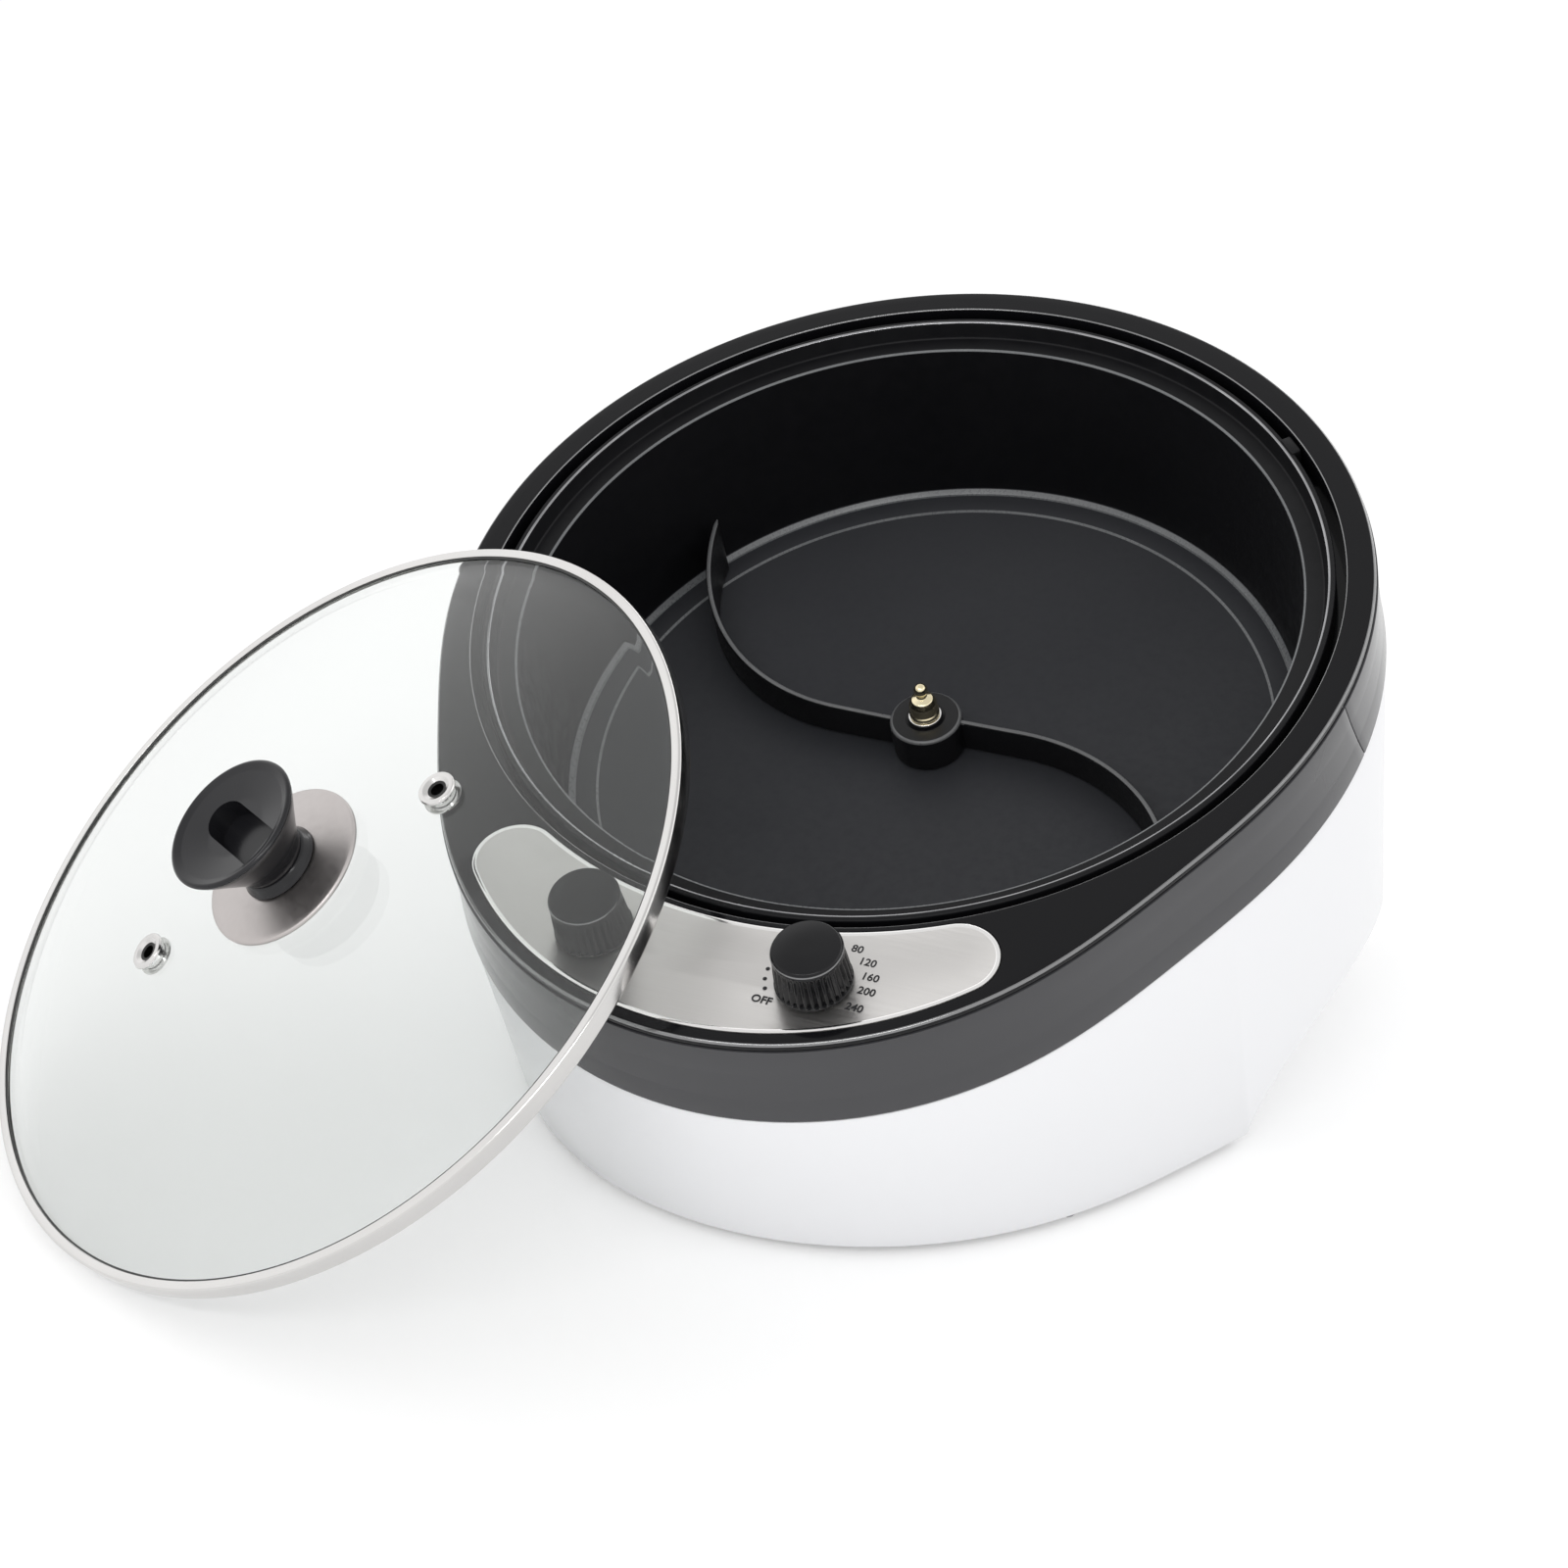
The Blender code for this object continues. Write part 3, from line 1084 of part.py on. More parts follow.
def build_lid_knob(frame):
    """Build the plate, the collar, the dished knob and the screw that holds them."""
    outer = outer_dome()
    hole = LID_SCREW_RADIUS + FIT
    plate_edge = dome_height(LID_PLATE_RADIUS, outer) + FIT
    plate_middle = dome_height(hole, outer) + FIT
    profile = [
        (hole, plate_middle),
        (LID_PLATE_RADIUS, plate_edge),
        (LID_PLATE_RADIUS, plate_edge + LID_PLATE_WALL / 2.0),
        (LID_PLATE_RADIUS - LID_PLATE_WALL, plate_edge + LID_PLATE_WALL),
        (COLLAR_RADIUS, plate_middle + LID_PLATE_WALL),
        (hole, plate_middle + LID_PLATE_WALL),
    ]
    turned("knob_plate", profile, STEEL, MIDDLE_STEPS, frame)
    foot = plate_middle + LID_PLATE_WALL + FIT
    waist = foot + COLLAR_HEIGHT
    profile = [
        (hole, foot),
        (COLLAR_RADIUS, foot),
        (COLLAR_RADIUS, foot + COLLAR_RIM),
        ((COLLAR_RADIUS + COLLAR_WAIST_RADIUS) / 2.0, foot + 2.0 * COLLAR_RIM),
        (COLLAR_WAIST_RADIUS, foot + 3.0 * COLLAR_RIM),
        (COLLAR_WAIST_RADIUS, waist),
        (hole, waist),
    ]
    turned("knob_collar", profile, GLOSS_BLACK, MIDDLE_STEPS, frame)
    base = waist + FIT
    top = base + LID_KNOB_HEIGHT
    profile = [(hole, base)]
    for up_share, out_share in LID_KNOB_FLARE_SHARES:
        reach = COLLAR_WAIST_RADIUS + (LID_KNOB_RADIUS - COLLAR_WAIST_RADIUS) * out_share
        profile.append((reach, base + (top - base) * up_share))
    profile += [
        (LID_KNOB_RADIUS, top - LID_KNOB_RIM / 2.0),
        (LID_KNOB_RADIUS - LID_KNOB_RIM / 2.0, top),
        (LID_KNOB_RADIUS - LID_KNOB_RIM, top),
        (LID_KNOB_DISH_RADIUS, top - LID_KNOB_DISH / 2.0),
        (LID_KNOB_DISH_RADIUS / 2.0, top - LID_KNOB_DISH),
        (0.0, top - LID_KNOB_DISH),
        (0.0, base + LID_SCREW_BITE),
        (hole, base + LID_SCREW_BITE),
    ]
    knob = turned("lid_knob", profile, GLOSS_BLACK, MIDDLE_STEPS, frame)
    slot = [slot_ring(top - SLOT_DEPTH + LID_KNOB_DISH), slot_ring(top + OVERRUN)]
    boolean(knob, skin("finger_slot", slot, None, parent=frame))
    under = dome_height(LID_WASHER_RADIUS, inner_dome()) - FIT
    profile = [
        (hole, under - LID_WASHER_WALL),
        (LID_WASHER_RADIUS, under - LID_WASHER_WALL),
        (LID_WASHER_RADIUS, under),
        (hole, under),
    ]
    turned("lid_washer", profile, RUBBER, SMALL_STEPS, frame)
    head = under - LID_WASHER_WALL - FIT
    profile = [
        (0.0, head - LID_SCREW_HEAD_HEIGHT),
        (LID_SCREW_HEAD_RADIUS, head - LID_SCREW_HEAD_HEIGHT),
        (LID_SCREW_HEAD_RADIUS, head),
        (LID_SCREW_RADIUS, head),
        (LID_SCREW_RADIUS, base + LID_SCREW_BITE - FIT),
        (0.0, base + LID_SCREW_BITE - FIT),
    ]
    turned("lid_screw", profile, STEEL, TINY_STEPS, frame)


def main():
    """Build the whole roaster."""
    clear_scene()
    deck = make_frame("deck_frame", deck_matrix())
    build_body()
    build_cover()
    build_deck(deck)
    build_bands(deck)
    build_bowl(deck)
    build_stirrer(deck)
    build_heater(deck)
    build_drive(deck)
    build_controls(deck)
    build_wiring()
    lid = make_frame("lid_frame", lid_matrix())
    build_lid_glass(lid)
    build_lid_knob(lid)
    bpy.context.view_layer.update()


main()
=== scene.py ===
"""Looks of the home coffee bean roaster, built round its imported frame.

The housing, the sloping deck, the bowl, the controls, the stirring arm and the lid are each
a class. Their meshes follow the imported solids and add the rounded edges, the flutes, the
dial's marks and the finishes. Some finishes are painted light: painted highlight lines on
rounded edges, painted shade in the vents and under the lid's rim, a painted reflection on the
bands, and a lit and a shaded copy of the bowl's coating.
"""

from __future__ import annotations

import json
import logging
import math
from dataclasses import dataclass, field
from enum import Enum
from typing import Any, Callable, Sequence

import bmesh
import bpy
from mathutils import Matrix, Vector

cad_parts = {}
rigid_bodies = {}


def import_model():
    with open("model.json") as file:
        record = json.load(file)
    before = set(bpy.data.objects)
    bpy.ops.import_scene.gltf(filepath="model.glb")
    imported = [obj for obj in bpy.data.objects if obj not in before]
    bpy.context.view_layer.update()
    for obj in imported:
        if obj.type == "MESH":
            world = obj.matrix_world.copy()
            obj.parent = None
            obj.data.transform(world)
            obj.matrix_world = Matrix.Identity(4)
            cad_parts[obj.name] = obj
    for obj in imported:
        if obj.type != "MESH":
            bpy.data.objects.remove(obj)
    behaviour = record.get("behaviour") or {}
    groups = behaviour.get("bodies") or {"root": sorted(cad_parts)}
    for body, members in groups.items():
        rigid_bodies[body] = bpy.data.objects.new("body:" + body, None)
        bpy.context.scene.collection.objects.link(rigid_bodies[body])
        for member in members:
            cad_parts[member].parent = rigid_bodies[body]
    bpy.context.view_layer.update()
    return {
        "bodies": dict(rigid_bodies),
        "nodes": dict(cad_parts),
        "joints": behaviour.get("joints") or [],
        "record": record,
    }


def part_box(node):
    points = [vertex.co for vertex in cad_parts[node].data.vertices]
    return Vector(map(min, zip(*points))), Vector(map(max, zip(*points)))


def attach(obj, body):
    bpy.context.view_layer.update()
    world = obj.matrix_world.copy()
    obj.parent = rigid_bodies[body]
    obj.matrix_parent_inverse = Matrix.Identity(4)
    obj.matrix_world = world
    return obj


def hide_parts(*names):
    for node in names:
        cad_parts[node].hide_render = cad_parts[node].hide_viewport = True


LOG = logging.getLogger("roaster")
Colour = tuple[float, float, float, float]
Point = tuple[float, float, float]
Spot = tuple[float, float]
Corner = tuple[float, float, float]
Node = Any


class Body(Enum):
    """The rigid bodies of the frame."""

    HOUSING = "housing"
    ARM = "stirring_arm"
    HEAT = "heat_control"
    STIR = "stir_control"
    LID = "lid"


class Grain(Enum):
    """How a finish's fine structure runs, as its scale along each axis."""

    EVEN = (1.0, 1.0, 1.0)
    BRUSHED = (0.02, 1.0, 1.0)


def add_node(tree: Node, kind: str, values: dict[Any, Any] | None = None,
             links: dict[Any, Node] | None = None) -> Node:
    """Add a shader node, set its inputs and feed them from other nodes.

    Args:
        tree: Node tree.
        kind: Kind of the node, without the word that all kinds start with.
        values: Values of its inputs, by name or number.
        links: Outputs that feed its inputs, by name or number.

    Returns:
        The node.
    """
    node = tree.nodes.new("ShaderNode" + kind)
    for name, value in (values or {}).items():
        node.inputs[name].default_value = value
    for name, output in (links or {}).items():
        tree.links.new(output, node.inputs[name])
    return node


@dataclass(frozen=True)
class Finish:
    """A procedural finish: colour with slight variation, roughness range and fine relief.

    Attributes:
        name: Name of the material.
        colour: Base colour.
        shade: Second colour, mixed in by a soft noise.
        rough: Lowest and highest roughness.
        metallic: Metallic share.
        specular: Specular level.
        coat: Coat weight.
        mottle_scale: Scale of the soft noise.
        grain_scale: Scale of the fine noise.
        grain_depth: Height of the fine relief in metres; 0 leaves the surface polished.
        grain: Direction of the fine noise.
        transmission: Transmission share.
        ior: Index of refraction.
    """

    name: str
    colour: Colour
    shade: Colour
    rough: Spot
    metallic: float = 0.0
    specular: float = 0.5
    coat: float = 0.0
    mottle_scale: float = 12.0
    grain_scale: float = 900.0
    grain_depth: float = 0.00001
    grain: Grain = Grain.EVEN
    transmission: float = 0.0
    ior: float = 1.5

    MOTTLE_DETAIL = 3.0
    MOTTLE_SPAN = (0.3, 0.75)
    GRAIN_DETAIL = 4.0
    GRAIN_SPAN = (0.3, 0.7)

    def build(self) -> bpy.types.Material:
        """Make the material, or give the one already made.

        Returns:
            The material.
        """
        known = bpy.data.materials.get(self.name)
        if known is not None:
            return known
        material = bpy.data.materials.new(self.name)
        material.use_nodes = True
        tree = material.node_tree
        shader = tree.nodes["Principled BSDF"]
        levels = {"Metallic": self.metallic, "Specular IOR Level": self.specular,
                  "Coat Weight": self.coat, "Coat Roughness": self.rough[0] / 2.0,
                  "Transmission Weight": self.transmission, "IOR": self.ior,
                  "Roughness": self.rough[0]}
        for name, level in levels.items():
            shader.inputs[name].default_value = level
        place = add_node(tree, "TexCoord").outputs["Object"]
        self._dress_colour(tree, shader, place)
        if self.rough[0] < self.rough[1] or self.grain_depth > 0.0:
            self._dress_grain(tree, shader, place)
        return material

    def _dress_colour(self, tree: Node, shader: Node, place: Node) -> None:
        """Link the soft variation of colour.

        Args:
            tree: Node tree of the material.
            shader: Its Principled shader.
            place: Output of its coordinates.
        """
        noise = add_node(tree, "TexNoise", {"Scale": self.mottle_scale,
                                            "Detail": self.MOTTLE_DETAIL}, {"Vector": place})
        ramp = add_node(tree, "ValToRGB", links={"Fac": noise.outputs["Fac"]})
        for index, colour in enumerate((self.colour, self.shade)):
            ramp.color_ramp.elements[index].position = self.MOTTLE_SPAN[index]
            ramp.color_ramp.elements[index].color = colour
        tree.links.new(ramp.outputs["Color"], shader.inputs["Base Color"])

    def _dress_grain(self, tree: Node, shader: Node, place: Node) -> None:
        """Link the fine noise to the roughness, and to a relief if the finish has one.

        Args:
            tree: Node tree of the material.
            shader: Its Principled shader.
            place: Output of its coordinates.
        """
        stretch = add_node(tree, "Mapping", {"Scale": self.grain.value}, {"Vector": place})
        noise = add_node(tree, "TexNoise", {"Scale": self.grain_scale,
                                            "Detail": self.GRAIN_DETAIL},
                         {"Vector": stretch.outputs["Vector"]})
        span = {"From Min": self.GRAIN_SPAN[0], "From Max": self.GRAIN_SPAN[1],
                "To Min": self.rough[0], "To Max": self.rough[1]}
        spread = add_node(tree, "MapRange", span, {"Value": noise.outputs["Fac"]})
        tree.links.new(spread.outputs["Result"], shader.inputs["Roughness"])
        if self.grain_depth > 0.0:
            relief = add_node(tree, "Bump", {"Distance": self.grain_depth, "Strength": 1.0},
                              {"Height": noise.outputs["Fac"]})
            tree.links.new(relief.outputs["Normal"], shader.inputs["Normal"])


DECK_BLACK = Finish("deck_black", (0.004, 0.004, 0.005, 1), (0.006, 0.006, 0.007, 1),
                    (0.10, 0.10), specular=0.18, mottle_scale=6.0, grain_depth=0.0)
# Painted highlight: a lighter, glossier black for the deck's rounded upper edges, standing for the
# lamps' highlight lines.
DECK_HIGHLIGHT = Finish("deck_highlight", (0.060, 0.060, 0.064, 1), (0.040, 0.040, 0.044, 1),
                   (0.10, 0.16), specular=1.0, coat=1.0, ior=1.8, grain_depth=0.000001)
# Painted reflection: the bands' glossy black is lightened to grey for the pale room that their
# upright faces reflect.
BAND_REFLECTION_GREY = Finish("band_reflection_grey", (0.046, 0.046, 0.050, 1), (0.054, 0.054, 0.058, 1),
                    (0.15, 0.15), specular=0.4, mottle_scale=6.0, grain_depth=0.0)
HOUSING_WHITE = Finish("housing_white", (0.895, 0.898, 0.915, 1), (0.878, 0.882, 0.900, 1),
                       (0.27, 0.27), mottle_scale=2.5, grain_depth=0.0)
# Painted light: one coating, as a darker shaded copy for the bowl's wall and tab and a lighter lit
# copy for its floor.
BOWL_COAT_SHADED = Finish("bowl_coat_shaded", (0.004, 0.004, 0.005, 1), (0.006, 0.006, 0.007, 1),
                        (0.38, 0.52), specular=0.18, grain_scale=220.0, grain_depth=0.0)
BOWL_COAT_LIT = Finish("bowl_coat_lit", (0.028, 0.029, 0.033, 1), (0.021, 0.022, 0.026, 1),
                         (0.42, 0.58), specular=0.25, mottle_scale=9.0, grain_scale=400.0,
                         grain_depth=0.000003)
# Painted highlight: light grey lines on the floor's beads and on the seat's edge.
COAT_HIGHLIGHT = Finish("coat_highlight", (0.16, 0.165, 0.17, 1), (0.10, 0.105, 0.11, 1), (0.24, 0.34),
                   specular=0.6, mottle_scale=30.0, grain_depth=0.000004)
# Painted highlight: a bright metal line on the lip's inner rounding.
LIP_HIGHLIGHT = Finish("lip_highlight", (0.42, 0.42, 0.43, 1), (0.24, 0.24, 0.25, 1), (0.18, 0.30),
                  metallic=1.0, mottle_scale=60.0, grain_depth=0.000004)
ARM_BLACK = Finish("arm_black", (0.005, 0.005, 0.006, 1), (0.008, 0.008, 0.009, 1),
                   (0.28, 0.42), specular=0.3, grain_scale=900.0, grain_depth=0.000006)
# Painted highlight: a lighter grey along the arms' tops and the hub's rim.
ARM_HIGHLIGHT = Finish("arm_highlight", (0.115, 0.117, 0.12, 1), (0.070, 0.071, 0.074, 1), (0.26, 0.36),
                  specular=0.6, mottle_scale=40.0, grain_depth=0.000004)
KNOB_BLACK = Finish("knob_black", (0.005, 0.005, 0.006, 1), (0.008, 0.008, 0.009, 1),
                    (0.16, 0.16), specular=0.26, mottle_scale=40.0, grain_depth=0.0)
LID_KNOB_BLACK = Finish("lid_knob_black", (0.010, 0.010, 0.012, 1), (0.015, 0.015, 0.017, 1),
                        (0.19, 0.19), specular=0.34, mottle_scale=40.0, grain_depth=0.0)
# Painted highlight: a lighter, glossy line at the foot of the knobs' chamfer.
KNOB_HIGHLIGHT = Finish("knob_highlight", (0.10, 0.10, 0.105, 1), (0.060, 0.060, 0.064, 1), (0.12, 0.2),
                   specular=0.9, coat=0.6, ior=1.7, grain_depth=0.000001)
BRUSHED_STEEL = Finish("brushed_steel", (0.63, 0.615, 0.60, 1), (0.69, 0.675, 0.66, 1),
                       (0.32, 0.48), metallic=1.0, mottle_scale=5.0, grain_scale=2600.0,
                       grain_depth=0.000003, grain=Grain.BRUSHED)
RIM_STEEL = Finish("rim_steel", (0.70, 0.69, 0.68, 1), (0.61, 0.60, 0.59, 1), (0.12, 0.20),
                   metallic=1.0, grain_scale=120.0, grain_depth=0.0)
BRIGHT_STEEL = Finish("bright_steel", (0.93, 0.92, 0.91, 1), (0.88, 0.87, 0.86, 1),
                      (0.10, 0.16), metallic=1.0, grain_scale=300.0, grain_depth=0.000001)
PLATE_STEEL = Finish("plate_steel", (0.55, 0.52, 0.51, 1), (0.49, 0.455, 0.445, 1),
                     (0.36, 0.44), metallic=1.0, grain_scale=500.0, grain_depth=0.0)
CASE_STEEL = Finish("case_steel", (0.34, 0.34, 0.35, 1), (0.28, 0.28, 0.29, 1), (0.35, 0.5),
                    metallic=1.0, grain_scale=500.0)
# Painted shade: a dark metal for the vents' bores, which lie in shade.
VENT_BORE_SHADE = Finish("vent_bore_shade", (0.05, 0.05, 0.05, 1), (0.03, 0.03, 0.03, 1), (0.3, 0.4),
                   metallic=1.0, grain_scale=500.0)
ALUMINIUM = Finish("aluminium", (0.70, 0.70, 0.72, 1), (0.62, 0.62, 0.64, 1), (0.3, 0.45),
                   metallic=1.0, grain_scale=500.0)
NUT_BRASS = Finish("nut_brass", (0.86, 0.78, 0.56, 1), (0.78, 0.68, 0.44, 1), (0.12, 0.22),
                   metallic=1.0, grain_scale=600.0)
RUBBER = Finish("rubber", (0.020, 0.020, 0.020, 1), (0.030, 0.030, 0.030, 1), (0.7, 0.9),
                specular=0.2, grain_scale=900.0, grain_depth=0.00004)
COVER_BLACK = Finish("cover_black", (0.020, 0.020, 0.021, 1), (0.026, 0.026, 0.027, 1),
                     (0.5, 0.65), specular=0.3, grain_scale=1200.0, grain_depth=0.00003)
CREAM = Finish("cream_plastic", (0.72, 0.69, 0.60, 1), (0.66, 0.63, 0.54, 1), (0.4, 0.55),
               grain_scale=600.0)
MARK_INK = Finish("mark_ink", (0.020, 0.020, 0.022, 1), (0.032, 0.032, 0.034, 1), (0.5, 0.6),
                  specular=0.2, grain_scale=1200.0)
# Painted shade: a dark ring for the shade in the crevice between the lid's rim and its glass.
RIM_SHADE_BLACK = Finish("rim_shade_black", (0.030, 0.030, 0.030, 1), (0.045, 0.045, 0.045, 1),
                    (0.35, 0.5), specular=0.4, grain_scale=600.0, grain_depth=0.000004)
LID_GLASS = Finish("lid_glass_clear", (0.905, 0.922, 0.912, 1), (0.895, 0.914, 0.903, 1),
                   (0.0, 0.0), transmission=1.0, ior=1.48, mottle_scale=4.0,
                   grain_scale=25.0, grain_depth=0.0)


class Shape:
    """Helpers that make meshes from profiles and rings."""

    MERGE = 0.000001
    ARC_STEPS = 5
    SIDE_SHARE = 0.49

    @staticmethod
    def rounded(corners: Sequence[Corner], closed: bool = True) -> list[Spot]:
        """Round the corners of an outline.

        Args:
            corners: Corners as (x, y, radius).
            closed: Whether the last corner joins the first.

        Returns:
            Points of the rounded outline.
        """
        points: list[Spot] = []
        count = len(corners)
        for index, (x, y, radius) in enumerate(corners):
            at_end = not closed and index in (0, count - 1)
            if radius <= 0.0 or at_end:
                points.append((x, y))
                continue
            here = Vector((x, y))
            before = Vector(corners[index - 1][:2]) - here
            after = Vector(corners[(index + 1) % count][:2]) - here
            turn = before.angle(after)
            cut = radius / math.tan(turn / 2.0)
            cut = min(cut, Shape.SIDE_SHARE * before.length, Shape.SIDE_SHARE * after.length)
            first = here + before.normalized() * cut
            last = here + after.normalized() * cut
            for step in range(Shape.ARC_STEPS + 1):
                share = step / Shape.ARC_STEPS
                spot = first * (1 - share) ** 2 + here * 2 * share * (1 - share)
                spot += last * share ** 2
                points.append((spot.x, spot.y))
        return points

    @staticmethod
    def skin(rings: Sequence[Sequence[Point]], wrap: bool = False) -> bmesh.types.BMesh:
        """Make a surface through closed rings.

        Args:
            rings: Rings of as many points each.
            wrap: Whether the last ring joins the first; if not, both ends are capped.

        Returns:
            The closed mesh.
        """
        bm = bmesh.new()
        loops = [[bm.verts.new(point) for point in ring] for ring in rings]
        pairs = list(zip(loops, loops[1:]))
        if wrap:
            pairs.append((loops[-1], loops[0]))
        for lower, upper in pairs:
            for index, vertex in enumerate(lower):
                after = (index + 1) % len(lower)
                bm.faces.new((vertex, lower[after], upper[after], upper[index]))
        if not wrap:
            bm.faces.new(loops[0])
            bm.faces.new(loops[-1])
        bmesh.ops.recalc_face_normals(bm, faces=bm.faces)
        return bm

    @staticmethod
    def lathe(profile: Sequence[Spot], steps: int) -> bmesh.types.BMesh:
        """Turn a closed profile round the local Z axis.

        Args:
            profile: Points as (radius, height).
            steps: Number of steps round the axis.

        Returns:
            The closed mesh.
        """
        bm = bmesh.new()
        verts = [bm.verts.new((radius, 0.0, height)) for radius, height in profile]
        edges = []
        for index, vertex in enumerate(verts):
            after = (index + 1) % len(verts)
            if profile[index][0] == 0.0 and profile[after][0] == 0.0:
                continue
            edges.append(bm.edges.new((vertex, verts[after])))
        bmesh.ops.spin(bm, geom=verts + edges, cent=(0, 0, 0), axis=(0, 0, 1),
                       angle=math.tau, steps=steps, use_merge=True)
        bmesh.ops.remove_doubles(bm, verts=bm.verts, dist=Shape.MERGE)
        bmesh.ops.dissolve_degenerate(bm, dist=Shape.MERGE, edges=bm.edges)
        bmesh.ops.recalc_face_normals(bm, faces=bm.faces)
        return bm

    @staticmethod
    def circle(radius: float, height: float, steps: int, centre: Spot = (0.0, 0.0)) -> list[Point]:
        """Give a ring of points round a centre.

        Args:
            radius: Radius of the ring.
            height: Its height.
            steps: Number of points.
            centre: Its centre.

        Returns:
            The points.
        """
        angles = [math.tau * index / steps for index in range(steps)]
        return [(centre[0] + radius * math.cos(a), centre[1] + radius * math.sin(a), height)
                for a in angles]

    @staticmethod
    def turned(corners: Sequence[Corner], steps: int) -> bmesh.types.BMesh:
        """Turn an outline with rounded corners, as (radius, height, rounding), round Z."""
        return Shape.lathe(Shape.rounded(corners), steps)


@dataclass
class Workshop:
    """Turns meshes into pieces that ride on the frame's bodies."""

    frame: dict[str, Any]
    count: int = 0

    SHARP = 32.0
    HOLE_STEPS = 40
    BEVEL_STEPS = 2

    def piece(self, name: str, bm: bmesh.types.BMesh, finish: Finish, body: Body, slot: str,
              place: Matrix | None = None, nodes: Sequence[str] = (),
              sharp: float = SHARP) -> bpy.types.Object:
        """Add a piece.

        Args:
            name: Name of the piece.
            bm: Its mesh, freed here.
            finish: Its finish.
            body: Body that it rides on.
            slot: Record's material slot.
            place: Its place in the row frame.
            nodes: Frame nodes that it stands for.
            sharp: Angle in degrees above which an edge stays sharp.

        Returns:
            The new object.
        """
        thing = self.loose(name, bm, place, sharp)
        thing.data.materials.append(finish.build())
        self.settle(thing, body, slot, nodes)
        return thing

    def loose(self, name: str, bm: bmesh.types.BMesh, place: Matrix | None = None,
              sharp: float = SHARP) -> bpy.types.Object:
        """Make an object that rides on nothing yet.

        Args:
            name: Name of the object.
            bm: Its mesh, freed here.
            place: Its place in the row frame.
            sharp: Angle in degrees above which an edge stays sharp.

        Returns:
            The new object.
        """
        mesh = bpy.data.meshes.new(name)
        bm.to_mesh(mesh)
        bm.free()
        mesh.shade_smooth()
        mesh.set_sharp_from_angle(angle=math.radians(sharp))
        thing = bpy.data.objects.new(name, mesh)
        bpy.context.scene.collection.objects.link(thing)
        if place is not None:
            thing.matrix_world = place
        return thing

    def settle(self, thing: bpy.types.Object, body: Body, slot: str,
               nodes: Sequence[str] = ()) -> None:
        """Let a piece ride, take its slot and stand for its nodes.

        Args:
            thing: The piece.
            body: Body that it rides on.
            slot: Record's material slot; not used.
            nodes: Frame nodes that it stands for.
        """
        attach(thing, body.value)
        if nodes:
            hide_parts(*nodes)
        self.count += 1
        LOG.info("%s rides on %s", thing.name, body.value)

    def cut(self, thing: bpy.types.Object, cutter: bpy.types.Object,
            operation: str = "DIFFERENCE") -> None:
        """Apply a Boolean to a piece and drop the other object.

        Args:
            thing: The piece.
            cutter: The other object.
            operation: DIFFERENCE or UNION.
        """
        bpy.context.view_layer.update()
        modifier = thing.modifiers.new("cut", "BOOLEAN")
        modifier.operation = operation
        modifier.solver = "EXACT"
        modifier.object = cutter
        graph = bpy.context.evaluated_depsgraph_get()
        mesh = bpy.data.meshes.new_from_object(thing.evaluated_get(graph))
        thing.modifiers.clear()
        thing.data = mesh
        bpy.data.objects.remove(cutter, do_unlink=True)

    def drill(self, thing: bpy.types.Object, place: Matrix, radius: float, ends: Spot,
              centre: Spot = (0.0, 0.0), steps: int = HOLE_STEPS) -> None:
        """Cut a round hole along a place's Z axis.

        Args:
            thing: The piece.
            place: The place.
            radius: Radius of the hole.
            ends: Heights at which the cutter starts and ends.
            centre: Middle of the hole on the place's plane.
            steps: Number of the cutter's sides.
        """
        bore = Shape.skin([Shape.circle(radius, height, steps, centre) for height in ends])
        self.cut(thing, self.loose("hole", bore, place))

    def coat(self, thing: bpy.types.Object, finish: Finish, sharp: float) -> None:
        """Give a piece that was cut its sharp edges and its finish.

        Args:
            thing: The piece.
            finish: Its finish.
            sharp: Angle in degrees above which an edge stays sharp.
        """
        thing.data.set_sharp_from_angle(angle=math.radians(sharp))
        thing.data.materials.clear()
        thing.data.materials.append(finish.build())

    def soften(self, thing: bpy.types.Object, width: float, angle: float) -> None:
        """Bevel the sharp edges of a piece.

        Args:
            thing: The piece.
            width: Width of the bevel.
            angle: Least angle in degrees that is bevelled.
        """
        bevel = thing.modifiers.new("edges", "BEVEL")
        bevel.width = width
        bevel.segments = self.BEVEL_STEPS
        bevel.limit_method = "ANGLE"
        bevel.angle_limit = math.radians(angle)
        bevel.use_clamp_overlap = True
        bevel.harden_normals = False

    def line(self, thing: bpy.types.Object, finish: Finish,
             chosen: Callable[[Vector, Vector], bool]) -> None:
        """Give some faces of a piece a finish of their own, such as a painted highlight or shade.

        Args:
            thing: The piece.
            finish: The faces' finish.
            chosen: Tells from a face's centre and normal whether it is one of them.
        """
        mesh = thing.data
        mesh.materials.append(finish.build())
        for face in mesh.polygons:
            if chosen(face.center, face.normal):
                face.material_index = len(mesh.materials) - 1

    def dress(self, node: str, finish: Finish) -> None:
        """Give a frame node a finish.

        Args:
            node: Name of the node.
            finish: Its finish.
        """
        mesh = self.frame["nodes"][node].data
        mesh.materials.clear()
        mesh.materials.append(finish.build())


